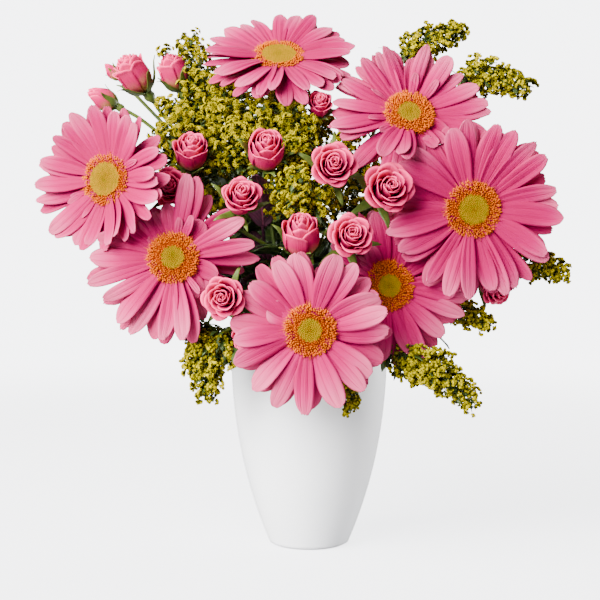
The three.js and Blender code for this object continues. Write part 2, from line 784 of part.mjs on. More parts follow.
// The vase and the flower heads come first, so that the rest can be bent clear of them.
add("vase", vaseSolid(), "glaze");
for (const flower of GERBERAS) add(flower.name + "_disc", gerberaDisc(flower), "disc", facing(flower));
for (const spray of ROSE_SPRAYS)
  spray.heads.forEach((head, i) => {
    add(`${spray.name}_bloom_${i + 1}`, roseHead(head), "rose", headFrame(head));
  });
for (const flower of GERBERAS) add(flower.name + "_stem", gerberaStem(flower, flower.name + "_stem"), "stem");
for (const spray of ROSE_SPRAYS) add(spray.name + "_stem", roseStem(spray, spray.name + "_stem"), "stem");
for (const flower of GERBERAS) {
  const name = flower.name + "_petals";
  add(name, gerberaPetals(flower, name), "petal", facing(flower));
}
GOLDENRODS.forEach((plant, i) => {
  const seed = 300 + 20 * i;
  add(plant.name, goldenrod(plant, plant.name, seed), "goldenrod");
});
for (const plant of LEAFY_STEMS) add(plant.name, leafyStem(plant, plant.name), "leaf");
add("water", waterSolid(stemsInWater), "water");

export default group;
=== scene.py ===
"""The looks of the gerberas in a vase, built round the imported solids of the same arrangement.

Sizes in the tables are in millimetres and meshes are made in metres. +Z is up and -Y is towards the
viewer. Each class builds one kind of plant or ware and stands for its own solids.
"""
import logging
import math
from dataclasses import dataclass
from enum import Enum
from typing import Callable, Optional, Sequence

import bpy
import numpy as np
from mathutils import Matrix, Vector
from mathutils.bvhtree import BVHTree


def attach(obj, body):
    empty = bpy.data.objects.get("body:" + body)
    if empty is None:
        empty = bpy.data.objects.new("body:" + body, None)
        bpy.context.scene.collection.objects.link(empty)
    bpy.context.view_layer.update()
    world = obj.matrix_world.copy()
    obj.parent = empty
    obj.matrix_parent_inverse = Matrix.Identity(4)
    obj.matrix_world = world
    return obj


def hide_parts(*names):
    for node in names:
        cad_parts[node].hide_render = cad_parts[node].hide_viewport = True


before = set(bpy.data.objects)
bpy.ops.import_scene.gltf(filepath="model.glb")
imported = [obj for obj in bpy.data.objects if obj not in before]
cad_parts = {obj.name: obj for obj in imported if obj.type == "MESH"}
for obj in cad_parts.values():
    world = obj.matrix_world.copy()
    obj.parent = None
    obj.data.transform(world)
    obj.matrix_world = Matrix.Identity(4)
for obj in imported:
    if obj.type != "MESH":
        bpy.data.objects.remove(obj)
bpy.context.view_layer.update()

log = logging.getLogger("arrangement")
Array = np.ndarray
Point = tuple[float, float, float]
Colour = tuple[float, float, float]
Face = tuple[int, ...]
Axis = Callable[[Array | float], Array]
Draws = np.random.Generator
Piece = bpy.types.Object
Node = bpy.types.Node
Socket = bpy.types.NodeSocket

MM = 0.001
UP = np.array([0.0, 0.0, 1.0])
# Never quite along a stem, so that a direction square to both can be found.
NEARLY_UP = UP + 0.01
ROUND = 2 * math.pi
GOLDEN_ANGLE = math.radians(137.5)

# ------------------------------------------------------------------ places of stems, in millimetres


class Ring(Enum):
    """Where a stem stands on the vase's floor and passes its rim: the radius there, and there."""

    CENTRE = (0.0, 3.0)
    INNER = (11.5, 22.0)
    MIDDLE = (17.5, 33.0)
    OUTER = (23.5, 43.0)


FOOT_HEIGHT = 12.0
RIM_PASS_HEIGHT = 153.0
STRAIGHT_SHARE = 0.86

# The ways in which the solids are bent clear of each other. A piece finds its own solid's way again.
BENDS = (
    (0, 1), (5, 1), (10, 1), (-5, 1), (16, 1), (-10, 1), (22, 0.95), (-16, 0.95), (30, 0.9),
    (-24, 0.9), (38, 0.85), (-32, 0.85), (48, 0.8), (-42, 0.75), (60, 0.7), (20, 0.6), (0, 0.5),
)
PUSHES = tuple(
    np.array([d * math.cos(math.radians(a)), d * math.sin(math.radians(a)), d / 4])
    for d in (0, 4, 8, 12, 18)
    for a in (0, 60, 120, 180, 240, 300)
)


def draw(seed: float, k: float) -> float:
    """A repeatable draw from 0 to 1 for a seed's choice k, the same as the solids' own."""
    s = math.sin(seed * 12.9898 + k * 78.233) * 43758.5453
    return s - math.floor(s)


def spoke(angle: float) -> Array:
    """The level direction at an angle in radians, counted from +X towards +Y."""
    return np.array([math.cos(angle), math.sin(angle), 0.0])


def facing(at: Point, turn: float, tilt: float) -> Array:
    """The frame of a flower: z out of its face, turned to the right and tilted up by degrees."""
    t, e = math.radians(turn), math.radians(tilt)
    z = np.array([math.sin(t) * math.cos(e), -math.cos(t) * math.cos(e), math.sin(e)])
    x = spoke(t)
    matrix = np.eye(4)
    matrix[:3, 0], matrix[:3, 1], matrix[:3, 2], matrix[:3, 3] = x, np.cross(z, x), z, at
    return matrix


def unit(v: Array) -> Array:
    """The vectors with length 1."""
    return v / np.maximum(np.linalg.norm(v, axis=-1, keepdims=True), 1e-12)


def held(share: Array | float) -> Array:
    """Shares held between 0 and 1."""
    return np.clip(share, 0, 1)


def moved(matrix: Array, points: Array) -> Array:
    """Points carried by a 4 by 4 matrix."""
    return points @ matrix[:3, :3].T + matrix[:3, 3]


def turned(v: Array, axis: Array, angle: float) -> Array:
    """A vector turned about an axis by radians."""
    c, s = math.cos(angle), math.sin(angle)
    return v * c + np.cross(axis, v) * s + axis * (axis @ v) * (1 - c)


def aimed(at: Array, z: Array, spin: float, scale: float) -> Array:
    """A frame at a point with z along a direction, spun about it and scaled."""
    z = unit(z)
    x = unit(np.cross(UP if abs(z[2]) < 0.9 else np.array([1.0, 0, 0]), z))
    x = turned(x, z, spin)
    matrix = np.eye(4)
    matrix[:3, 0], matrix[:3, 1], matrix[:3, 2] = x * scale, np.cross(z, x) * scale, z * scale
    matrix[:3, 3] = at
    return matrix


def beside(along: Array, angle: float, up: Array = NEARLY_UP) -> Array:
    """A direction square to another one, turned about it by radians."""
    return turned(unit(np.cross(along, up)), along, angle)


def upper_side(way: Array) -> Array:
    """The way that a leaf's upper side faces, when the leaf leaves this way."""
    return unit(np.cross(np.cross(way, NEARLY_UP), way))


class Line:
    """A smooth curve through points, the same as the one that the solids' stems follow."""

    def __init__(self, points: Sequence[Array]) -> None:
        """Samples the curve finely through its points."""
        pts = [np.asarray(p, float) for p in points]
        dense: list[Array] = []
        for i in range(len(pts) - 1):
            p1, p2 = pts[i], pts[i + 1]
            p0 = pts[i - 1] if i else 2 * p1 - p2
            p3 = pts[i + 2] if i + 2 < len(pts) else 2 * p2 - p1
            spans = ((p0, p1), (p1, p2), (p2, p3))
            d0, d1, d2 = (max(np.linalg.norm(b - a) ** 0.5, 1e-4) for a, b in spans)
            m1 = d1 * ((p1 - p0) / d0 - (p2 - p0) / (d0 + d1) + (p2 - p1) / d1)
            m2 = d1 * ((p2 - p1) / d1 - (p3 - p1) / (d1 + d2) + (p3 - p2) / d2)
            t = np.linspace(0, 1, 81)[:, None]
            dense.append(
                (2 * t**3 - 3 * t**2 + 1) * p1 + (t**3 - 2 * t**2 + t) * m1
                + (3 * t**2 - 2 * t**3) * p2 + (t**3 - t**2) * m2
            )
        self.points = np.concatenate([dense[0]] + [d[1:] for d in dense[1:]])
        steps = np.linalg.norm(np.diff(self.points, axis=0), axis=1)
        self.run = np.concatenate([[0.0], np.cumsum(steps)])

    def at(self, share: Array | float) -> Array:
        """The points at these shares of the curve's length."""
        wanted = np.asarray(share) * self.run[-1]
        return np.stack([np.interp(wanted, self.run, self.points[:, k]) for k in range(3)], axis=-1)

    def heading(self, share: float) -> Array:
        """The curve's direction at a share of its length."""
        return unit(self.at(min(share + 0.01, 1)) - self.at(max(share - 0.01, 0)))

    def share_above(self, height: float) -> float:
        """The share at which it first rises past a height, or 0.9 where it stays below."""
        return next((t for t in np.linspace(0, 1, 60) if self.at(t)[2] > height), 0.9)

    def spaced(self, steps: int) -> Array:
        """Points evenly spaced along the curve."""
        return self.at(np.linspace(0, 1, steps + 1))


def solid_points(node: str) -> Array:
    """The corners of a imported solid, in millimetres."""
    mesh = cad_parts[node].data
    flat = np.zeros(len(mesh.vertices) * 3, np.float32)
    mesh.vertices.foreach_get("co", flat)
    return flat.reshape(-1, 3).astype(float) / MM


def nearest(cloud: Array, wanted: Array) -> Array:
    """The distance from each wanted point to the closest one of a cloud."""
    return np.linalg.norm(cloud[None] - np.atleast_2d(wanted)[:, None], axis=2).min(1)


@dataclass(frozen=True)
class Root:
    """Where a petal or leaf grows: its foot, the way that it leaves and its upper side, square to it."""

    at: Array
    way: Array
    up: Array


def arch_end(root: Root, lift: float, droop: float, stations: Sequence[float],
             length: float) -> tuple[Array, Array]:
    """The end of a solid petal or leaf, which is laid in straight lengths along an arch.

    Args:
        root: where it grows.
        lift: degrees that it leaves its root at.
        droop: degrees that it falls by, from root to tip.
        stations: the shares of its length between which it is straight.
        length: from root to tip.

    Returns:
        The middle of its tip and the way that its last length runs.
    """
    point, along = root.at, root.way
    for before, s in zip((0, *stations), stations):
        slope = math.radians(lift - droop * (s + before) / 2)
        along = root.way * math.cos(slope) + root.up * math.sin(slope)
        point = point + along * (s - before) * length
    return point, along


def fitted(cloud: Array, lines: Sequence[Line], steps: int, radius: float) -> Line:
    """The line that a solid stem follows, out of those it may: its corners lie one radius off it."""

    def misfit(line: Line) -> float:
        """How far a line's points are from lying one radius off the corners."""
        return float(np.abs(nearest(cloud, line.spaced(steps)[1:-1]) - radius).sum())

    return min(lines, key=misfit)


@dataclass
class Stemmed:
    """What all that stands in the vase has: its number, and the place of its stem in degrees round it."""

    number: int
    ring: Ring
    angle: float

    STEM_RADIUS = 1.6

    def foot(self) -> Array:
        """The stem's foot on the vase's floor."""
        return spoke(math.radians(self.angle)) * self.ring.value[0] + UP * FOOT_HEIGHT

    def line(self, later: Sequence[Array]) -> Line:
        """The curve that the stem follows from under the rim through points above it."""
        foot = self.foot()
        rim = spoke(math.radians(self.angle)) * self.ring.value[1] + UP * RIM_PASS_HEIGHT
        return Line([foot + (rim - foot) * STRAIGHT_SHARE, rim, *later])

    def whole(self, line: Line, steps: int) -> Array:
        """The stem's points: its foot, and then evenly along its curve."""
        return np.concatenate([[self.foot()], line.spaced(steps)])

    def found(self, cloud: Array, later: Sequence[Array], steps: int) -> Line:
        """The curve of the solid stem, whose first point above the rim may be pushed aside."""
        lines = [self.line([later[0] + push, *later[1:]]) for push in PUSHES]
        return fitted(cloud, lines, steps, self.STEM_RADIUS)


# ------------------------------------------------------------------ meshes


def deselect() -> None:
    """Nothing is selected."""
    bpy.ops.object.select_all(action="DESELECT")


def only(piece: Piece) -> None:
    """Selects one object and makes it active."""
    deselect()
    piece.select_set(True)
    bpy.context.view_layer.objects.active = piece


@dataclass
class Pattern:
    """A shape that is modelled once and copied: its corners, faces and a value at each corner."""

    points: Array
    faces: list[Face]
    mark: Optional[Array] = None

    @staticmethod
    def modelled(operator: Callable[..., object], **settings: float | str) -> "Pattern":
        """The shape that a modelling operator makes. Its object is removed."""
        deselect()
        operator(**settings)
        piece = bpy.context.object
        mesh = piece.data
        points = np.array([v.co[:] for v in mesh.vertices])
        faces = [tuple(p.vertices) for p in mesh.polygons]
        bpy.data.objects.remove(piece)
        bpy.data.meshes.remove(mesh)
        return Pattern(points, faces)

    def stood(self, height: float) -> "Pattern":
        """The shape raised onto its foot and marked by height."""
        self.points[:, 2] += height / 2
        self.mark = self.points[:, 2] / height
        return self

    @staticmethod
    def sheet(columns: int, rows: int) -> "Pattern":
        """A flat blank for a petal or leaf: x from -1 to 1 across it and y from 0 to 1 along it."""
        grid = bpy.ops.mesh.primitive_grid_add
        blank = Pattern.modelled(grid, x_subdivisions=columns, y_subdivisions=rows, size=2)
        blank.points[:, 1] = (blank.points[:, 1] + 1) / 2
        return blank

    @staticmethod
    def star(rays: int, radius: float, waist: float, height: float) -> "Pattern":
        """A floret: a cup that opens into pointed rays round a raised middle."""
        cone = bpy.ops.mesh.primitive_cone_add
        star = Pattern.modelled(
            cone, vertices=2 * rays, radius1=radius, radius2=0, depth=height, end_fill_type="TRIFAN"
        )
        p = star.points
        p[:, 2] += height / 2
        away = np.hypot(p[:, 0], p[:, 1])
        rim = np.flatnonzero(away > radius / 2)
        order = rim[np.argsort(np.arctan2(p[rim, 1], p[rim, 0]))]
        foot, tip = int(np.argmin(away + p[:, 2])), int(np.argmax(p[:, 2]))
        p[order[1::2], :2] *= waist
        p[order, 2] = height
        p[order[1::2], 2] = height * 0.8
        p[foot, 2], p[tip, 2] = 0, height * 1.3
        star.mark = np.zeros(len(p))
        star.mark[order] = 0.85
        star.mark[order[1::2]] = 0.35
        star.mark[tip] = 1.0
        return star

    @staticmethod
    def bead(radius: float, height: float, sides: int) -> "Pattern":
        """A small bud: a pointed bead that stands on its foot."""
        ball = bpy.ops.mesh.primitive_uv_sphere_add
        bead = Pattern.modelled(ball, segments=sides, ring_count=3, radius=1)
        bead.points *= np.array([radius, radius, height / 2])
        return bead.stood(height)

    @staticmethod
    def hair(radius: float, length: float, sides: int) -> "Pattern":
        """A fine tapering hair or filament that stands on its foot."""
        cone = bpy.ops.mesh.primitive_cone_add
        return Pattern.modelled(cone, vertices=sides, radius1=radius, radius2=0, depth=length).stood(length)


class Growth:
    """One mesh that grows from copies, in millimetres, with what its finish reads at each corner."""

    def __init__(self) -> None:
        """Starts with nothing."""
        self.points: list[Array] = []
        self.faces: list[Face] = []
        self.uv: list[Array] = []
        self.values: dict[str, list[Array]] = {"mark": [], "tint": []}
        self.count = 0

    def add(self, points: Array, faces: Sequence[Face], uv: Optional[Array] = None,
            mark: Array | float = 0.0, tint: Array | float = 0.5) -> None:
        """Adds one copy.

        Args:
            points: its corners.
            faces: its faces.
            uv: across and along it, at each corner.
            mark: a value for its finish, at each corner or for all.
            tint: a second one, by which copies differ from each other.
        """
        n = len(points)
        self.points.append(points)
        self.faces.extend(tuple(i + self.count for i in f) for f in faces)
        self.uv.append(np.zeros((n, 2)) if uv is None else uv)
        for key, value in (("mark", mark), ("tint", tint)):
            self.values[key].append(np.broadcast_to(np.asarray(value, float), (n,)))
        self.count += n

    def lay(self, points: Array, sheet: Pattern, mark: float = 0.0, tint: float = 0.5) -> None:
        """Adds a blank whose corners have been carried to these points."""
        across_along = np.c_[(sheet.points[:, 0] + 1) / 2, sheet.points[:, 1]]
        self.add(points, sheet.faces, across_along, mark, tint)

    def copy(self, pattern: Pattern, matrix: Array, tint: Array | float, mark: Array | float) -> None:
        """Adds a pattern at a frame."""
        self.add(moved(matrix, pattern.points), pattern.faces, None, mark, tint)

    def piece(self, name: str, smooth: bool = True, thickness: float = 0.0) -> Piece:
        """All that has grown as one object at the origin, its sheets thickened by millimetres."""
        mesh = bpy.data.meshes.new(name)
        mesh.from_pydata((np.concatenate(self.points) * MM).tolist(), [], self.faces)
        corners = np.zeros(len(mesh.loops), np.int32)
        mesh.loops.foreach_get("vertex_index", corners)
        layer = mesh.uv_layers.new(name="Lay")
        layer.data.foreach_set("uv", np.concatenate(self.uv)[corners].astype(np.float32).ravel())
        for key, parts in self.values.items():
            attribute = mesh.attributes.new(key, "FLOAT", "POINT")
            attribute.data.foreach_set("value", np.concatenate(parts).astype(np.float32))
        mesh.polygons.foreach_set("use_smooth", [smooth] * len(mesh.polygons))
        piece = bpy.data.objects.new(name, mesh)
        bpy.context.scene.collection.objects.link(piece)
        if thickness:
            thickened(piece, thickness)
        return piece


def thickened(piece: Piece, thickness: float) -> None:
    """Gives sheets their thickness in millimetres. Their undersides are marked as 1."""
    only(piece)
    count = len(piece.data.vertices)
    bpy.ops.object.modifier_add(type="SOLIDIFY")
    wall = piece.modifiers[-1]
    wall.thickness, wall.offset = thickness * MM, -1
    bpy.ops.object.modifier_apply(modifier=wall.name)
    total = len(piece.data.vertices)
    under = piece.data.attributes.new("under", "FLOAT", "POINT")
    under.data.foreach_set("value", (np.arange(total) >= count).astype(np.float32))


def rods(name: str, lines: Sequence[tuple[Array, Array]], sides: int) -> Piece:
    """Round rods of changing thickness as one object.

    Args:
        name: the object's name.
        lines: each rod's points and its radius at each, in millimetres.
        sides: how many sides a rod has.

    Returns:
        The object.
    """
    deselect()
    bpy.ops.curve.primitive_nurbs_path_add()
    piece = bpy.context.object
    curve = piece.data
    curve.splines.clear()
    for points, radii in lines:
        spline = curve.splines.new("POLY")
        spline.points.add(len(points) - 1)
        spline.points.foreach_set("co", np.c_[points * MM, np.ones(len(points))].ravel())
        spline.points.foreach_set("radius", np.broadcast_to(radii, (len(points),)).astype(float))
    curve.dimensions = "3D"
    curve.bevel_depth = MM
    curve.bevel_resolution = sides // 4 - 1
    curve.use_fill_caps = True
    only(piece)
    bpy.ops.object.convert(target="MESH")
    piece = bpy.context.object
    piece.name = piece.data.name = name
    piece.location = (0, 0, 0)
    piece.data.polygons.foreach_set("use_smooth", [True] * len(piece.data.polygons))
    return piece


def joined(pieces: Sequence[Piece], name: str) -> Piece:
    """Several objects as one."""
    deselect()
    for piece in pieces:
        piece.select_set(True)
    bpy.context.view_layer.objects.active = pieces[0]
    bpy.ops.object.join()
    piece = bpy.context.object
    piece.name = piece.data.name = name
    return piece


def lathed(profile: Sequence[tuple[float, float]], sides: int,
           ends: tuple[float, ...] = ()) -> tuple[Array, list[Face]]:
    """A closed body turned round the z axis.

    Args:
        profile: radii and heights, foot first.
        sides: how many sides it has.
        ends: the heights on the axis where its foot and head run to a point, or none for flat ends.

    Returns:
        Its corners and faces.
    """
    turns = np.arange(sides) / sides * ROUND
    rings = [np.c_[r * np.cos(turns), r * np.sin(turns), np.full(sides, z)] for r, z in profile]
    pairs = [(i, (i + 1) % sides) for i in range(sides)]
    faces: list[Face] = [
        (k + i, k + j, k + sides + j, k + sides + i)
        for k in range(0, sides * (len(profile) - 1), sides)
        for i, j in pairs
    ]
    last = sides * (len(profile) - 1)
    if not ends:
        faces += [tuple(range(sides))[::-1], tuple(range(last, last + sides))]
    else:
        rings.append(np.array([[0, 0, z] for z in ends]))
        foot, head = last + sides, last + sides + 1
        faces += [(i, foot, j) for i, j in pairs] + [(last + i, last + j, head) for i, j in pairs]
    return np.concatenate(rings), faces


def arched(slopes: Array, step: float) -> tuple[Array, Array]:
    """How far ahead and how high a strip has come, at its start and after each step of a slope."""
    none = np.zeros_like(slopes[..., :1])
    parts = (np.cumsum(wave(slopes) * step, axis=-1) for wave in (np.cos, np.sin))
    ahead, above = (np.concatenate([none, part], axis=-1) for part in parts)
    return ahead, above


def arched_sheet(root: Root, share: Array, slopes: Array, length: float, across: Array,
                 lift: Array | float = 0.0) -> Array:
    """The corners of a sheet laid along an arch.

    Args:
        root: where it grows.
        share: each corner's share of the length.
        slopes: radians, at even shares of the length.
        length: along the arch.
        across: each corner's distance from the arch's middle line.
        lift: and its height above it.

    Returns:
        The points, in millimetres.
    """
    index = np.arange(len(slopes))
    steps = index[-1]
    ahead, above = (np.interp(share * steps, index, run) for run in arched(slopes[1:], length / steps))
    points = root.at + ahead[:, None] * root.way + (above + lift)[:, None] * root.up
    return points + across[:, None] * np.cross(root.up, root.way)


def leaf_blade(sheet: Pattern, root: Root, length: float, width: float, rng: Draws, droop: float = 45.0,
               teeth: float = 0.0) -> Array:
    """The corners of a leaf that arches over, folded a little along its rib.

    Args:
        sheet: the blank.
        root: where it grows.
        length: along its rib.
        width: at its broadest.
        rng: its own small differences.
        droop: degrees that it falls by.
        teeth: the depth of its edge's teeth, as a share of its width.

    Returns:
        The points, in millimetres.
    """
    c, s = sheet.points.T[:2]
    slopes = np.radians(rng.uniform(5, 20) - (droop + rng.uniform(-15, 20)) * np.linspace(0, 1, 31))
    half = width / 2 * (np.sin(held(s) ** 0.85 * math.pi) ** 0.85 + 0.05)
    half = half * (1 + teeth * (s * 11 % 1 - 0.5))
    fold = 0.22 * half * np.abs(c) + 0.05 * width * np.sin(s * 8 + rng.uniform(0, 6)) * c**2
    sway = rng.uniform(-0.12, 0.12) * length * s**2
    return arched_sheet(root, s, slopes, length, half * c + sway, fold)


def ribbon(points: Array, up: Array, width: float) -> tuple[Array, list[Face]]:
    """A narrow strip along points, for a leaf's stalk: its corners and faces."""
    side = unit(np.cross(up, points[-1] - points[0])) * width / 2
    count = len(points)
    faces = [(k, k + 1, k + 1 + count, k + count) for k in range(count - 1)]
    return np.concatenate([points + side, points - side]), faces


class Thicket:
    """The flowers' solids, which filling growth keeps clear of."""

    def __init__(self) -> None:
        """Gathers the petals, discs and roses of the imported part."""
        points: list[Vector] = []
        faces: list[Face] = []
        for name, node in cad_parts.items():
            if name.endswith(("_petals", "_disc")) or "_bloom_" in name:
                count = len(points)
                points.extend(v.co for v in node.data.vertices)
                faces.extend(tuple(i + count for i in p.vertices) for p in node.data.polygons)
        self.tree = BVHTree.FromPolygons(points, faces)

    def clear(self, point: Array, gap: float) -> bool:
        """Whether a point stands clear of every flower by a gap."""
        return self.tree.find_nearest(Vector(point * MM), gap * MM)[0] is None


# ------------------------------------------------------------------ finishes


class Weaver:
    """Short ways to add nodes to a tree."""

    def __init__(self, tree: bpy.types.NodeTree) -> None:
        """Works in one tree."""
        self.tree = tree

    def new(self, kind: str, **settings: object) -> Node:
        """A new node with these settings."""
        node = self.tree.nodes.new(kind)
        for key, value in settings.items():
            setattr(node, key, value)
        return node

    def feed(self, socket: Socket, value: object) -> None:
        """Links a socket or sets a constant."""
        if isinstance(value, Socket):
            self.tree.links.new(value, socket)
        elif isinstance(value, tuple) and len(value) == 3 and socket.type == "RGBA":
            socket.default_value = (*value, 1.0)
        else:
            socket.default_value = value

    def math(self, operation: str, *values: object) -> Socket:
        """One sum on values."""
        node = self.new("ShaderNodeMath", operation=operation)
        for socket, value in zip(node.inputs, values):
            self.feed(socket, value)
        return node.outputs[0]

    def times(self, a: object, b: object) -> Socket:
        """Two values multiplied."""
        return self.math("MULTIPLY", a, b)

    def span(self, value: object, low: float, high: float, to_low: float = 0.0,
             to_high: float = 1.0) -> Socket:
        """A value carried smoothly from one range to another and held at its ends."""
        node = self.new("ShaderNodeMapRange", interpolation_type="SMOOTHSTEP")
        for socket, v in zip(node.inputs, (value, low, high, to_low, to_high)):
            self.feed(socket, v)
        return node.outputs[0]

    def mix(self, share: object, a: object, b: object, blend: str = "MIX") -> Socket:
        """Two colours mixed."""
        node = self.new("ShaderNodeMix", data_type="RGBA", blend_type=blend)
        self.feed(node.inputs[0], share)
        self.feed(node.inputs[6], a)
        self.feed(node.inputs[7], b)
        return node.outputs[2]

    def noise(self, place: object, scale: object, detail: float) -> Socket:
        """Soft noise from 0 to 1."""
        node = self.new("ShaderNodeTexNoise")
        for key, value in (("Vector", place), ("Scale", scale), ("Detail", detail)):
            self.feed(node.inputs[key], value)
        return node.outputs[0]

    def stretched(self, scale: Point) -> Socket:
        """Soft noise over the object, with its own scale along each axis."""
        node = self.new("ShaderNodeMapping")
        self.feed(node.inputs["Vector"], self.place())
        node.inputs["Scale"].default_value = scale
        return self.noise(node.outputs[0], 1.0, 2.0)

    def attribute(self, name: str) -> Socket:
        """A value that the mesh holds at each corner."""
        return self.new("ShaderNodeAttribute", attribute_name=name).outputs["Fac"]

    def lay(self) -> tuple[Socket, Socket]:
        """Across and along a petal or leaf."""
        node = self.new("ShaderNodeUVMap", uv_map="Lay")
        parts = self.new("ShaderNodeSeparateXYZ")
        self.feed(parts.inputs[0], node.outputs[0])
        return parts.outputs[0], parts.outputs[1]

    def aside(self, across: Socket) -> Socket:
        """How far from the middle line, from 0 to 1 at the edges."""
        return self.math("ABSOLUTE", self.math("SUBTRACT", self.times(across, 2.0), 1.0))

    def place(self) -> Socket:
        """The place on the object, in metres."""
        return self.new("ShaderNodeTexCoord").outputs["Object"]


Weaving = Callable[[Weaver, Node, Node], None]


def shared_group(name: str, inputs: Sequence[str], outputs: Sequence[str],
                 weaving: Weaving) -> bpy.types.NodeTree:
    """A node group that is made once and found again by its name.

    Args:
        name: its name.
        inputs: the names of the values it takes.
        outputs: the names of the values it gives.
        weaving: fills it, from its input node to its output node.

    Returns:
        The group.
    """
    group = bpy.data.node_groups.get(name)
    if group is None:
        group = bpy.data.node_groups.new(name, "ShaderNodeTree")
        for way, sockets in (("INPUT", inputs), ("OUTPUT", outputs)):
            for socket in sockets:
                group.interface.new_socket(name=socket, in_out=way, socket_type="NodeSocketFloat")
        w = Weaver(group)
        weaving(w, w.new("NodeGroupInput"), w.new("NodeGroupOutput"))
    return group


def weave_veins(w: Weaver, start: Node, end: Node) -> None:
    """Lines that run along a petal."""
    place = w.new("ShaderNodeCombineXYZ")
    w.feed(place.inputs[0], w.times(start.outputs["Across"], start.outputs["Count"]))
    w.feed(place.inputs[1], w.times(start.outputs["Along"], 1.6))
    w.feed(place.inputs[2], w.times(start.outputs["Tint"], 40.0))
    w.feed(end.inputs["Lines"], w.span(w.noise(place.outputs[0], 1.0, 2.0), 0.32, 0.68))


def weave_mottle(w: Weaver, start: Node, end: Node) -> None:
    """The soft unevenness of living things, glaze and water."""
    place = w.place()
    for name, source in (("Patches", "Coarse"), ("Grain", "Fine")):
        w.feed(end.inputs[name], w.span(w.noise(place, start.outputs[source], 3.0), 0.3, 0.7))


class Finish(Weaver):
    """A material with its own shader, and the shared effects placed in it."""

    def __init__(self, name: str, roughness: float, subsurface: float = 0.0, gloss: float = 0.12) -> None:
        """Makes the material with the constants of its shader."""
        self.material = bpy.data.materials.new(name)
        self.material.use_nodes = True
        super().__init__(self.material.node_tree)
        self.shader = self.tree.nodes["Principled BSDF"]
        self.shader.inputs["Subsurface Radius"].default_value = (1.0, 0.35, 0.4)
        self.shader.inputs["Subsurface Scale"].default_value = 0.002
        self.shader.inputs["Subsurface Weight"].default_value = subsurface
        self.shader.inputs["Specular IOR Level"].default_value = gloss
        self.shader.inputs["Roughness"].default_value = roughness

    def effect(self, group: bpy.types.NodeTree, **inputs: object) -> Node:
        """Places a shared effect with its own values."""
        node = self.new("ShaderNodeGroup", node_tree=group)
        for key, value in inputs.items():
            self.feed(node.inputs[key], value)
        return node

    def veins(self, across: Socket, along: Socket, count: float, tint: Socket) -> Socket:
        """Places the lines that run along a petal."""
        group = shared_group("Veins", ("Across", "Along", "Count", "Tint"), ("Lines",), weave_veins)
        return self.effect(group, Across=across, Along=along, Count=count, Tint=tint).outputs[0]

    def mottle(self, coarse: float, fine: float) -> tuple[Socket, Socket]:
        """Places the soft unevenness: its patches and its grain."""
        group = shared_group("Mottle", ("Coarse", "Fine"), ("Patches", "Grain"), weave_mottle)
        node = self.effect(group, Coarse=coarse, Fine=fine)
        return node.outputs[0], node.outputs[1]

    def colour(self, value: object) -> None:
        """Feeds the base colour."""
        self.feed(self.shader.inputs["Base Color"], value)

    def roughness(self, value: object) -> None:
        """Feeds the roughness."""
        self.feed(self.shader.inputs["Roughness"], value)

    def bump(self, height: object, strength: float, depth: float) -> None:
        """Raises the surface by a height, depth in millimetres."""
        node = self.new("ShaderNodeBump")
        node.inputs["Strength"].default_value = strength
        node.inputs["Distance"].default_value = depth * MM
        self.feed(node.inputs["Height"], height)
        self.feed(self.shader.inputs["Normal"], node.outputs[0])

    def dress(self, piece: Piece) -> None:
        """Puts the material on a piece."""
        piece.data.materials.clear()
        piece.data.materials.append(self.material)


@dataclass(frozen=True)
class PetalFinish:
    """A gerbera's petals: deep at the root and pale at the tip and towards the sides, with painted shade in
    the furrows, in a thin line at the very edges and on the back layer.
    """

    name: str
    root: Colour
    body: Colour
    tip: Colour
    under: Colour

    def material(self) -> Finish:
        """Builds the finish."""
        f = Finish(self.name, 0.6, subsurface=0.08, gloss=0.05)
        across, along = f.lay()
        tint = f.attribute("tint")
        aside = f.aside(across)
        lines = f.veins(across, along, 20.0, tint)
        shift = f.times(f.math("SUBTRACT", tint, 0.5), 0.5)
        reach = f.math("ADD", along, f.math("ADD", shift, f.times(lines, 0.1)))
        colour = f.mix(f.span(reach, 0.08, 0.78), self.root, self.body)
        colour = f.mix(f.span(reach, 0.38, 1.0), colour, self.tip)
        # Painted shade: petals with mark 0, the back layer and the short inner ones, are pulled towards the
        # root colour for the shade under the front layer.
        colour = f.mix(f.span(f.attribute("mark"), 0.0, 1.0, 0.55, 0.0), colour, self.root)
        # Painted shade: two narrow furrows along each petal are darkened towards the root colour for the
        # shade in the grooves; the same mask cuts the grooves as a bump.
        shaded_furrow = f.span(f.math("ABSOLUTE", f.math("SUBTRACT", aside, 0.36)), 0.0, 0.09, 1.0, 0.0)
        shaded_furrow = f.times(shaded_furrow, f.span(along, 0.97, 0.7))
        colour = f.mix(f.times(shaded_furrow, 0.45), colour, self.root)
        colour = f.mix(f.times(lines, 0.3), colour, self.root)
        sides = f.times(f.span(aside, 0.55, 0.85), f.span(along, 0.3, 0.85, 0.0, 0.32))
        colour = f.mix(sides, colour, self.tip)
        # Painted shade: a thin dark line along each petal's outermost edges, for the shadow that one petal
        # casts on the next.
        rim = f.times(f.span(aside, 0.86, 1.0), f.span(along, 1.0, 0.75, 0.2, 0.6))
        colour = f.mix(rim, colour, self.root)
        colour = f.mix(f.times(f.attribute("under"), 0.6), colour, self.under)
        f.colour(colour)
        f.roughness(f.math("ADD", f.times(lines, 0.12), 0.52))
        f.bump(f.math("SUBTRACT", lines, shaded_furrow), 0.5, 0.35)
        return f


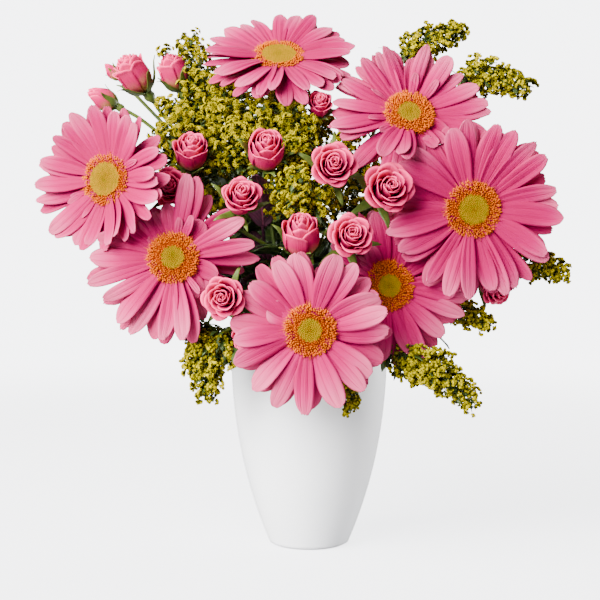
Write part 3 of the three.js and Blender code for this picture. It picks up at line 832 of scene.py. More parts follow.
@dataclass(frozen=True)
class RosePetalFinish:
    """A spray rose's petals: deep inside, paler at their rims, greenish at their foot."""

    name: str
    deep: Colour
    body: Colour
    rim: Colour
    foot: Colour

    def material(self) -> Finish:
        """Builds the finish. The mark is how far out a petal stands, from 0 in the heart to 1."""
        f = Finish(self.name, 0.6, subsurface=0.08, gloss=0.05)
        across, along = f.lay()
        out = f.attribute("mark")
        tint = f.attribute("tint")
        lines = f.veins(across, along, 18.0, tint)
        patches, _ = f.mottle(160.0, 1500.0)
        colour = f.mix(f.span(out, 0.1, 0.85), self.deep, self.body)
        colour = f.mix(f.times(lines, 0.22), colour, self.deep)
        colour = f.mix(f.times(f.span(along, 0.7, 1.0), 0.26), colour, self.rim)
        colour = f.mix(f.times(f.span(along, 0.93, 1.0), 0.8), colour, self.rim)
        young = f.span(tint, 0.45, 0.8, 0.35, 1.0)
        green = f.times(f.span(along, 0.7, 0.1), f.times(out, young))
        colour = f.mix(f.times(green, f.span(patches, -0.4, 1.0)), colour, self.foot)
        f.colour(colour)
        f.bump(lines, 0.4, 0.25)
        return f


@dataclass(frozen=True)
class DiscFinish:
    """A gerbera's disc. The mark is 0 in the eye, about 0.5 in the ring and 1 at the fringe."""

    name: str
    eye: Colour
    sun: Colour
    ring: Colour
    pale: Colour
    fringe: Colour

    def material(self) -> Finish:
        """Builds the finish. The tint is 1 at a floret's pale tips and 0 deep between florets, where the
        colour is multiplied darker as painted shade.
        """
        f = Finish(self.name, 0.75, gloss=0.0)
        mark, tint = f.attribute("mark"), f.attribute("tint")
        patches, grain = f.mottle(500.0, 2500.0)
        colour = f.mix(f.span(tint, 0.6, 0.95), self.eye, self.sun)
        colour = f.mix(f.span(mark, 0.15, 0.35), colour, self.ring)
        colour = f.mix(f.span(mark, 0.62, 0.9), colour, self.fringe)
        pale = f.times(f.span(tint, 0.6, 1.0), f.span(mark, 0.2, 0.4, 0.0, 0.7))
        colour = f.mix(pale, colour, self.pale)
        # Painted shade: where the tint is low, deep between florets and on the bed, the colour is
        # multiplied darker.
        dark = f.mix(1.0, colour, (0.4, 0.2, 0.1), "MULTIPLY")
        colour = f.mix(f.span(tint, 0.4, 0.0), colour, dark)
        colour = f.mix(f.times(patches, 0.12), colour, self.pale)
        f.colour(colour)
        f.bump(grain, 0.3, 0.15)
        return f


@dataclass(frozen=True)
class GreenFinish:
    """Stems, bracts and sepals: fresh green with lengthwise unevenness and a soft bloom."""

    name: str
    light: Colour
    dark: Colour
    blush: Colour

    def material(self) -> Finish:
        """Builds the finish."""
        f = Finish(self.name, 0.5, subsurface=0.05, gloss=0.25)
        patches, grain = f.mottle(90.0, 1400.0)
        streaks = f.stretched((1400.0, 1400.0, 60.0))
        colour = f.mix(patches, self.light, self.dark)
        colour = f.mix(f.span(streaks, 0.45, 0.75, 0.0, 0.4), colour, self.dark)
        colour = f.mix(f.span(f.attribute("mark"), 0.6, 1.0, 0.0, 0.6), colour, self.blush)
        f.colour(colour)
        f.roughness(f.span(grain, 0.0, 1.0, 0.42, 0.6))
        f.bump(streaks, 0.35, 0.2)
        return f


@dataclass(frozen=True)
class GoldenrodFinish:
    """Goldenrod florets. The mark is 0 at a floret's green foot and 1 at the tips of its rays. Florets deep
    in a plume get a lower mark and tint, which paints them darker as painted shade, and outer ones a
    brighter tint as painted light.
    """

    name: str
    foot: Colour
    middle: Colour
    ray: Colour
    bright: Colour

    def material(self) -> Finish:
        """Builds the finish."""
        f = Finish(self.name, 0.75, gloss=0.0)
        mark, tint = f.attribute("mark"), f.attribute("tint")
        patches, _ = f.mottle(130.0, 2000.0)
        ray = f.mix(tint, self.ray, self.bright)
        ray = f.mix(f.times(patches, 0.3), ray, self.middle)
        colour = f.mix(f.span(mark, 0.0, 0.35), self.foot, self.middle)
        colour = f.mix(f.span(mark, 0.35, 0.85), colour, ray)
        f.colour(colour)
        f.bump(patches, 0.2, 0.1)
        return f


@dataclass(frozen=True)
class LeafFinish:
    """Leaves with a paler midrib and side veins."""

    name: str
    blade: Colour
    deep: Colour
    vein: Colour

    def material(self) -> Finish:
        """Builds the finish."""
        f = Finish(self.name, 0.42, gloss=0.3)
        across, along = f.lay()
        aside = f.aside(across)
        slant = f.math("ADD", f.times(along, 11.0), f.times(aside, -3.2))
        wave = f.math("ABSOLUTE", f.math("SUBTRACT", f.math("FRACT", slant), 0.5))
        side = f.times(f.span(wave, 0.1, 0.0), f.span(aside, 1.0, 0.7))
        rib = f.span(aside, 0.09, 0.03)
        vein = f.math("MAXIMUM", rib, f.times(side, 0.55))
        patches, _ = f.mottle(110.0, 1500.0)
        colour = f.mix(patches, self.blade, self.deep)
        f.colour(f.mix(f.times(vein, 0.7), colour, self.vein))
        f.roughness(f.span(patches, 0.0, 1.0, 0.36, 0.5))
        f.bump(f.math("SUBTRACT", 1.0, vein), 0.5, 0.4)
        return f


@dataclass(frozen=True)
class GlazeFinish:
    """White satin glaze: hardly uneven, with a soft coat and a trace of the wheel."""

    name: str
    white: Colour
    cool: Colour

    def material(self) -> Finish:
        """Builds the finish."""
        f = Finish(self.name, 0.36, gloss=0.5)
        f.shader.inputs["Coat Weight"].default_value = 0.35
        f.shader.inputs["Coat Roughness"].default_value = 0.12
        patches, grain = f.mottle(22.0, 420.0)
        f.colour(f.mix(patches, self.white, self.cool))
        f.roughness(f.span(grain, 0.0, 1.0, 0.3, 0.42))
        wheel = f.stretched((6.0, 6.0, 240.0))
        f.bump(f.math("ADD", f.times(grain, 0.4), wheel), 0.25, 0.12)
        return f


@dataclass(frozen=True)
class WaterFinish:
    """Clear water, faintly green from the stems."""

    name: str
    body: Colour
    clear: Colour

    def material(self) -> Finish:
        """Builds the finish."""
        f = Finish(self.name, 0.03)
        f.shader.inputs["Transmission Weight"].default_value = 1.0
        f.shader.inputs["IOR"].default_value = 1.333
        patches, _ = f.mottle(30.0, 300.0)
        f.colour(f.mix(patches, self.body, self.clear))
        f.bump(patches, 0.15, 0.3)
        return f


def finished(piece: Piece, finish: Finish, slot: str, node: str) -> None:
    """Dresses a finished piece and rides it on the arrangement, in the place of its solid."""
    finish.dress(piece)
    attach(piece, "root")
    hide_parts(node)
    log.info("%s: %d faces, %s", piece.name, len(piece.data.polygons), slot)


class Stock:
    """What the plants are made of: finishes, blanks, parts to copy and the flowers to keep clear of."""

    def __init__(self) -> None:
        """Makes each once."""
        finishes = (PETALS, DISC, ROSES, GREEN, LEAF, GOLD, DARK)
        self.petal, self.disc, self.rose, self.green, self.leafy, self.golden, self.dark = (
            finish.material() for finish in finishes
        )
        self.petal_sheet = Pattern.sheet(10, 18)
        self.rose_sheet = Pattern.sheet(10, 12)
        self.leaf_sheet = Pattern.sheet(10, 18)
        self.bract_sheet = Pattern.sheet(4, 6)
        self.small_blade = Pattern.sheet(4, 8)
        self.narrow_blade = Pattern.sheet(2, 6)
        self.bud = Pattern.bead(0.72, 1.9, 7)
        self.floret = Pattern.star(5, 0.95, 0.45, 3.0)
        self.thread = Pattern.hair(0.32, 5.2, 4)
        self.hair = Pattern.hair(0.07, 1.3, 3)
        self.thorn = Pattern.hair(0.8, 2.4, 5)
        self.open_stars = (Pattern.star(5, 2.1, 0.36, 1.5), Pattern.star(6, 1.9, 0.4, 1.4))
        self.closed_star = Pattern.bead(1.3, 2.5, 6)
        self.thicket = Thicket()


# ------------------------------------------------------------------ the vase and its water


@dataclass
class Vase:
    """The white tapered vase, thrown in one piece, and the water that stands in it."""

    height: float = 150.0
    foot_radius: float = 26.0
    foot_rise: float = 1.5
    base_radius: float = 28.0
    rim_radius: float = 56.0
    wall: float = 4.0
    floor: float = 7.0
    swell: float = 2.3
    water_top: float = 112.0
    sides: int = 128
    hole: float = 2.0

    def radius(self, z: float) -> float:
        """The outer radius at a height."""
        share = 1 - (1 - z / self.height) ** self.swell
        return self.base_radius + (self.rim_radius - self.base_radius) * share

    def turned_profile(self, profile: Sequence[tuple[float, float]], name: str) -> Piece:
        """Turns a profile of radius and height, starting and ending near the axis, into a closed body.

        Args:
            profile: the radii and heights, in millimetres.
            name: the object's name.

        Returns:
            The object.
        """
        deselect()
        radius, z = profile[0]
        bpy.ops.mesh.primitive_circle_add(vertices=self.sides, radius=radius * MM, location=(0, 0, z * MM))
        piece = bpy.context.object
        piece.name = piece.data.name = name
        bpy.ops.object.transform_apply(location=True, rotation=False, scale=False)
        bpy.ops.object.mode_set(mode="EDIT")
        bpy.ops.mesh.select_all(action="SELECT")
        for (r0, z0), (r1, z1) in zip(profile, profile[1:]):
            bpy.ops.mesh.extrude_region_move(TRANSFORM_OT_translate={"value": (0, 0, (z1 - z0) * MM)})
            share = r1 / r0
            bpy.ops.transform.resize(value=(share, share, 1), center_override=(0, 0, z1 * MM))
        bpy.ops.mesh.select_all(action="SELECT")
        bpy.ops.mesh.region_to_loop()
        bpy.ops.mesh.select_all(action="DESELECT")
        bpy.ops.mesh.select_non_manifold(extend=False)
        bpy.ops.mesh.fill_holes(sides=0)
        bpy.ops.mesh.select_all(action="SELECT")
        bpy.ops.mesh.normals_make_consistent(inside=False)
        bpy.ops.object.mode_set(mode="OBJECT")
        bpy.ops.object.shade_smooth_by_angle(angle=math.radians(40))
        return piece

    def body(self) -> Piece:
        """The glazed body: foot, swelling wall, round rim, inner wall and floor."""
        h, half = self.height, self.wall / 2
        levels = np.linspace(0.02, 0.985, 22) * (h - half)
        outside = [(self.radius(z), z) for z in levels]
        rim_middle = self.radius(h) - half
        rim = [
            (rim_middle + half * math.cos(a), h - half + half * math.sin(a))
            for a in np.linspace(0, math.pi, 11)
        ]
        inside = [(self.radius(z) - self.wall, z) for z in levels[::-1] if z > self.floor + 4]
        foot = [
            (self.hole, 0.9),
            (self.foot_radius - 3.4, 0.9),
            (self.foot_radius - 2.6, 0.0),
            (self.foot_radius - 0.2, 0.0),
            (self.foot_radius + 0.9, 0.5),
            (self.radius(self.foot_rise), self.foot_rise),
        ]
        floor = [
            (self.radius(self.floor) - self.wall - 1.2, self.floor + 1.6),
            (self.radius(self.floor) - self.wall - 4, self.floor),
            (self.hole, self.floor),
        ]
        return self.turned_profile([*foot, *outside, *rim, *inside, *floor], "vase_body")

    def water(self) -> Piece:
        """The water, with its edge drawn up against the wall."""
        gap = 0.3
        levels = np.linspace(self.floor + 4, self.water_top, 12)
        side = [(self.radius(z) - self.wall - gap, z) for z in levels]
        edge = side[-1][0]
        profile = [
            (self.hole, self.floor + gap),
            (self.radius(self.floor) - self.wall - 4.5, self.floor + gap),
            *side,
            (edge - 0.6, self.water_top - 0.5),
            (edge - 2.5, self.water_top - 1.1),
            (self.hole, self.water_top - 1.2),
        ]
        return self.turned_profile(profile, "water_fill")

    def build(self, glaze: Finish, clear: Finish) -> None:
        """Makes and dresses the body and the water."""
        finished(self.body(), glaze, "glaze", "vase")
        finished(self.water(), clear, "water", "water")


# ------------------------------------------------------------------ gerberas


class PetalLayer(Enum):
    """The layers of the solids' petals: root height, phase in petals, lift past the cup, way of bends."""

    BACK = (-1.9, 0.0, -4.0, -1, (0, 0.6, 1), 0.5)
    FRONT = (-0.3, 0.5, 3.0, 1, (0, 0.45, 0.82, 1), 0.4)


# The cup of bracts under a gerbera's face: radius and height, foot first.
CUP = (
    (3.1, -15.2), (5.2, -13.6), (7.6, -11.2), (9.7, -8.4), (10.9, -5.6), (10.9, -3.2), (9.8, -1.6),
)
# Each row of bracts: where they start and end on the cup, how far they stand off it, and their number.
BRACT_ROWS = ((0.0, 0.55, 1.0, 11), (0.2, 0.8, 0.7, 13), (0.4, 1.08, 0.35, 15))


@dataclass
class Gerbera(Stemmed):
    """One gerbera: two layers of petals, the disc of florets, the cup of bracts and the stem."""

    at: Point
    turn: float
    tilt: float
    reach: float
    cup: float
    droop: float
    neck: tuple[float, float]
    seed: int
    eye: float = 7.8
    petals: int = 13
    # Each head's paleness. Its values also hold painted light: heads that lie in shade are made paler and
    # heads that the key lamp lights most are made deeper.
    pale: float = 0.5
    breadth: float = 1.0
    sun: float = 0.0
    ring_width: float = 7.4
    inner: int = 0
    short: tuple[float, float, float] = (0.0, 0.0, 1.0)

    ROOT_RADIUS = 8.2
    SOLID_PETALS = 10
    PITCH = 360 / SOLID_PETALS
    SOLID_WIDTH = 17.0
    THICKNESS = 0.8
    STEM_RADIUS = 2.7
    CALYX_DEPTH = 15.0
    HAIRS = 260
    FRINGE = 300
    BUD_PITCH = 0.62
    FLORET_AREA = 0.44
    BED_FOOT = (10, 0.4)

    def __post_init__(self) -> None:
        """Finds the flower's frame."""
        self.frame = facing(self.at, self.turn, self.tilt)

    def wander(self, k: int, share: float, choice: int) -> float:
        """The solid petals' own small differences."""
        return share * (draw(self.seed, k + 50 * choice) - 0.5)

    def tip_corners(self, layer: PetalLayer, k: int, bend: float, share: float) -> Array:
        """The corners of a solid petal's tip, were it bent in this way.

        Args:
            layer: the petal's layer.
            k: the petal's number through both layers.
            bend: degrees that it is bent by.
            share: its share of its length.

        Returns:
            Four points, in millimetres.
        """
        root_height, phase, lift, way, stations, tip_share = layer.value
        out = spoke(math.radians(self.PITCH * (k + phase) + self.wander(k, 4, 0)))
        root = Root(out * self.ROOT_RADIUS + UP * root_height, out, UP)
        length = (self.reach - self.ROOT_RADIUS) * (0.99 + self.wander(k, 0.1, 1)) * share
        lift, droop = self.cup + lift + way * bend, self.droop + self.wander(k, 6, 3)
        point, along = arch_end(root, lift, droop, stations, length)
        edge = turned(np.cross(UP, out), along, math.radians(5))
        face = unit(np.cross(along, edge)) * self.THICKNESS / 2
        half = edge * self.SOLID_WIDTH * (1 + self.wander(k, 0.14, 2)) * tip_share / 2
        corners = [point + a * half + b * face for a in (-1, 1) for b in (-1, 1)]
        return moved(self.frame, np.array(corners))

    def ways(self, layer: PetalLayer, cloud: Array) -> list[tuple[float, float]]:
        """How each of the layer's solid petals is bent, from the first to the last one round."""
        first = 0 if layer is PetalLayer.BACK else self.SOLID_PETALS
        found = []
        for k in range(first, first + self.SOLID_PETALS):
            gaps = [nearest(cloud, self.tip_corners(layer, k, *way)).max() for way in BENDS]
            best = int(np.argmin(gaps))
            found.append(BENDS[best] if gaps[best] < 1 else (0, 0.5))
        return found

    def petal(self, sheet: Pattern, rng: Draws, angle: float, length: float, width: float,
              root: tuple[float, float], lift: float, droop: float) -> Array:
        """The corners of one petal in the flower's frame.

        Args:
            sheet: the blank.
            rng: its own small differences.
            angle: radians round the flower.
            length: from its root to its tip.
            width: at its broadest.
            root: radius and height of its root.
            lift: degrees that it leaves its root at.
            droop: degrees that it falls by, from root to tip.

        Returns:
            The points, in millimetres.
        """
        c, s = sheet.points.T[:2]
        s = 1 - (1 - s) ** 1.6
        belly = rng.uniform(0.58, 0.74)
        blunt = rng.uniform(2.1, 2.9)
        outline = 0.3 + 0.7 * np.sin(held(s / belly) * math.pi / 2) ** 1.2
        end = held((s - belly) / (1 - belly))
        outline = outline * (1 - (0.94 * end) ** blunt) ** 0.5
        half = width / 2 * outline
        teeth = rng.uniform(0.0, 0.012) * np.cos(c * 2.9 * math.pi)
        point = rng.choice([-0.014, 0.0, 0.01]) * np.exp(-((c / 0.5) ** 2))
        run = s * (1 - 0.025 * c**2 * s**4) + (teeth + point) * s**12
        index = np.arange(56)
        slope = np.radians(lift - droop * np.linspace(0, 1.1, len(index)))
        step = length * 1.1 / index[-1]
        ahead, above = arched((slope[1:] + slope[:-1]) / 2, step)
        place = run * length / step
        radius = root[0] + np.interp(place, index, ahead)
        height = root[1] + np.interp(place, index, above)
        lean = np.interp(place, index, slope)
        roll = math.radians(5 + rng.uniform(-9, 10)) + math.radians(rng.uniform(-15, 15)) * s
        hollow = rng.uniform(-0.13, 0.07) * width
        ribs = 0.24 * np.cos(c * 2.75 * math.pi) * held(s * 3) * held((1 - s) * 3.4)
        bowl = (c**2 - 0.3) * np.sin(held(s * 1.15) * math.pi) ** 0.6
        rise = hollow * bowl + ribs * (1 - 0.55 * c**2)
        rise = rise + 0.5 * np.sin(s * 9 + rng.uniform(0, 6)) * c * s
        crease = rng.choice([0.0, 0.0, 0.0, 0.16, 0.3]) * rng.choice([-1.0, 1.0])
        folded = held(c * np.sign(crease) - 0.3) ** 1.4 * np.sin(s * math.pi)
        rise = rise + abs(crease) * width * folded
        sway = math.radians(rng.uniform(-7, 7)) * s * length
        across = half * c * np.cos(roll) + sway * s
        lifted = rise + half * c * np.sin(roll)
        radius = radius - lifted * np.sin(lean)
        height = height + lifted * np.cos(lean)
        out = spoke(angle)
        return radius[:, None] * out + across[:, None] * np.cross(UP, out) + height[:, None] * UP

    def petals_piece(self, sheet: Pattern) -> Piece:
        """Both layers of petals, with a few short ones at the disc's edge."""
        cloud = solid_points(f"gerbera_{self.number}_petals")
        rng = np.random.default_rng(self.seed)
        growth = Growth()
        for layer in PetalLayer:
            root_height, phase, lift, way, _, _ = layer.value
            ways = self.ways(layer, cloud)
            front = layer is PetalLayer.FRONT
            count = self.petals if front else self.petals - 1
            for k in range(count):
                turn = (k + phase) / count * ROUND + rng.uniform(-0.09, 0.09)
                own = int(round(math.degrees(turn) / self.PITCH - phase)) % self.SOLID_PETALS
                bend, share = ways[own]
                length = (self.reach - self.ROOT_RADIUS) * rng.uniform(0.9, 1.04) * share
                if self.short[0] < math.degrees(turn) < self.short[1]:
                    length *= self.short[2]
                points = self.petal(
                    sheet, rng, turn, length, rng.uniform(13.5, 20.0) * self.breadth,
                    (self.ROOT_RADIUS, root_height + 1.3 * (k % 2) + rng.uniform(-0.3, 0.5)),
                    self.cup + lift + way * bend + rng.uniform(-4, 4), self.droop + rng.uniform(-7, 7),
                )
                # The head's pale value, which also holds painted light, sets each petal's tint.
                tint = held(self.pale + rng.uniform(-0.3, 0.3))
                # The mark is 1 on the front layer and 0 on the back one, which the finish paints darker as
                # painted shade.
                growth.lay(moved(self.frame, points), sheet, float(front), tint)
        for _ in range(self.inner):
            turn, length, width = rng.uniform(0, ROUND), rng.uniform(12, 20), rng.uniform(4, 6)
            points = self.petal(sheet, rng, turn, length, width, (13, 1.0), self.cup + 14, 10)
            # These short petals keep mark 0, so the finish paints them darker as painted shade.
            growth.lay(moved(self.frame, points), sheet, tint=rng.uniform(0.3, 1))
        return growth.piece(f"gerbera_{self.number}_petal_layers", thickness=0.5)

    def on_bed(self, radius: float, angle: float) -> tuple[Array, Array]:
        """The way out and the point at a place on the disc's domed bed, in the flower's frame."""
        out = spoke(angle)
        dome = 1 - (radius / (self.eye + self.ring_width)) ** 2
        return out, out * radius + UP * (1.6 + 1.7 * dome)

    def disc_piece(self, stock: Stock) -> Piece:
        """The disc: buds in the eye, open florets round it and a fringe, on a domed bed."""
        rng = np.random.default_rng(self.seed + 1)
        growth = Growth()
        eye, edge = self.eye, self.eye + self.ring_width
        dome = [(r, self.on_bed(r, 0)[1][2]) for r in np.linspace(edge, 0, 7)]
        bed, faces = lathed([self.BED_FOOT, *dome[:-1]], 40, (self.BED_FOOT[1], dome[-1][1]))
        mark = held(np.hypot(bed[:, 0], bed[:, 1]) / edge * 0.6)
        # The bed's low tint makes the finish paint it dark, as painted shade between florets.
        growth.add(moved(self.frame, bed), faces, None, mark, 0.12)
        spin = rng.uniform(0, 6)
        buds = int((eye / self.BUD_PITCH) ** 2 * 0.98)
        for i in range(buds):
            share = math.sqrt((i + 0.5) / buds)
            out, at = self.on_bed(eye * share, spin + i * GOLDEN_ANGLE)
            size = 0.8 + 0.35 * share + rng.uniform(-0.08, 0.08)
            shade = 0.25 * math.exp(-((share / 0.22) ** 2)) + 1.5 * max(share - 0.8, 0) * (1 - self.sun)
            tint = max(rng.uniform(0.34, 0.6) + 0.4 * self.sun - shade, 0)
            matrix = aimed(at, UP + out * (0.1 * share - 0.12), rng.uniform(0, 3), size)
            growth.copy(stock.bud, self.frame @ matrix, tint, 0.08 * share)
        count = int((edge**2 - eye**2) / self.FLORET_AREA)
        for i in range(count):
            radius = math.sqrt(eye**2 + (edge**2 - eye**2) * (i + 0.5) / count)
            share = (radius - eye) / (edge - eye)
            out, at = self.on_bed(radius, spin + (i + buds) * GOLDEN_ANGLE)
            way = UP + out * (-0.3 + 1.5 * share) + rng.normal(0, 0.14, 3)
            size = rng.uniform(0.7, 0.95) * (0.75 + 0.35 * share)
            matrix = aimed(at, way, rng.uniform(0, 6), size)
            tone = 0.45 + 0.3 * share + rng.uniform(-0.08, 0.08)
            # Each floret's tint follows its own mark, so its foot is painted dark as painted shade between
            # florets.
            tips = held(stock.floret.mark + rng.uniform(-0.15, 0.1))
            growth.copy(stock.floret, self.frame @ matrix, tips, tone)
        for _ in range(self.FRINGE):
            angle = rng.uniform(0, ROUND)
            out, at = self.on_bed(edge + rng.uniform(-2.4, 0.6), angle)
            way = UP * rng.uniform(0.12, 0.8) + out + rng.normal(0, 0.14, 3)
            matrix = aimed(at - UP * 0.3, way, rng.uniform(0, 6), rng.uniform(0.7, 1.2))
            growth.copy(stock.thread, self.frame @ matrix, rng.uniform(0.3, 1.0), rng.uniform(0.66, 1.0))
        return growth.piece(f"gerbera_{self.number}_florets")

    def bracts_piece(self, sheet: Pattern, rng: Draws) -> Piece:
        """The rows of pointed bracts that lie round the cup."""
        bracts = Growth()
        c, s = sheet.points.T[:2]
        run = np.linspace(0, 1, len(CUP))
        radii, heights = np.array(CUP).T
        for row, (start, end, proud, count) in enumerate(BRACT_ROWS):
            for i in range(count):
                turn = (i + 0.37 * row + rng.uniform(-0.12, 0.12)) / count * ROUND
                place = start + (end - start) * s * rng.uniform(0.92, 1.08)
                past = held(place - 1)
                r = np.interp(place, run, radii) + past * 6
                z = np.interp(place, run, heights) + past * 10
                width = 2.3 * np.sin(held(s * 0.82 + 0.18) * math.pi) ** 0.7 * (1 - 0.5 * s) + 0.12
                a = turn + width * c / np.maximum(r, 3)
                off = proud + 0.5 * (1 - c**2) + 1.2 * s**3
                points = np.c_[(r + off) * np.cos(a), (r + off) * np.sin(a), z - off * 0.4]
                bracts.add(moved(self.frame, points), sheet.faces, mark=held(s) * 0.95)
        return bracts.piece(f"gerbera_{self.number}_bracts", thickness=0.35)

    def green_piece(self, stock: Stock) -> Piece:
        """The stem with its hairs, and the cup of pointed bracts under the face."""
        name = f"gerbera_{self.number}_green"
        depth, drop = self.neck
        falls = ((depth, drop), (self.CALYX_DEPTH + 6, 0), (self.CALYX_DEPTH - 3, 0))
        back = [moved(self.frame, np.array([[0, 0, -d]]))[0] - UP * fall for d, fall in falls]
        line = self.found(solid_points(f"gerbera_{self.number}_stem"), back, 5)
        points = self.whole(line, 30)
        radii = np.full(len(points), self.STEM_RADIUS)
        radii[-5:] = self.STEM_RADIUS * np.linspace(1.0, 1.3, 5)
        stem = rods(name, [(points, radii)], 12)
        rng = np.random.default_rng(self.seed + 2)
        growth = Growth()
        for _ in range(self.HAIRS):
            share = rng.uniform(0.12, 0.97)
            at, along = line.at(share), line.heading(share)
            out = beside(along, rng.uniform(0, ROUND))
            root = at + out * (self.STEM_RADIUS - 0.1)
            growth.copy(stock.hair, aimed(root, out + along * 0.3, 0, rng.uniform(0.6, 1.1)), 0.5, 0.0)
        cup, faces = lathed(CUP, 28)
        growth.add(moved(self.frame, cup), faces)
        extras = growth.piece(f"gerbera_{self.number}_cup")
        return joined([stem, extras, self.bracts_piece(stock.bract_sheet, rng)], name)

    def build(self, stock: Stock) -> None:
        """Makes and dresses the petals, disc and stem."""
        node = f"gerbera_{self.number}"
        finished(self.petals_piece(stock.petal_sheet), stock.petal, "gerbera_petal", node + "_petals")
        finished(self.disc_piece(stock), stock.disc, "gerbera_disc", node + "_disc")
        finished(self.green_piece(stock), stock.green, "green_stem", node + "_stem")


# ------------------------------------------------------------------ spray roses


@dataclass(frozen=True)
class Bloom:
    """One head of a spray: how it stands, its share of a full rose and how far it has opened."""

    at: Point
    turn: float
    tilt: float
    size: float
    open: float


@dataclass(frozen=True)
class Whorl:
    """One round of a rose's petals, as shares of the head's radius and height."""

    count: int
    radius: float
    height: float
    lean: float
    lean_open: float
    roll: float
    roll_open: float
    spread: float
    spiral: float


WHORLS = (
    Whorl(3, 0.15, 0.95, -8, 0, 4, 10, 120, 0.45),
    Whorl(4, 0.27, 1.00, -12, 6, 8, 26, 95, 0.30),
    Whorl(5, 0.44, 0.97, -12, 12, 12, 40, 74, 0.20),
    Whorl(5, 0.63, 0.91, -10, 18, 20, 56, 58, 0.13),
    Whorl(5, 0.82, 0.84, -8, 24, 30, 74, 50, 0.09),
    Whorl(5, 0.98, 0.74, -6, 34, 46, 84, 44, 0.06),
)


# The hip under a full rose's petals: radius and height, foot first.
HIP = ((1.5, -10.5), (2.6, -8.6), (4.1, -6.4), (4.6, -4.2), (4.0, -2.2), (4.4, -0.8), (2.2, 0.6))
# A rose leaf's leaflets: how far up its rib each sits, and the degrees that it turns from it.
LEAFLETS = ((26, 0), (20, 62), (20, -62), (9, 70), (9, -70))


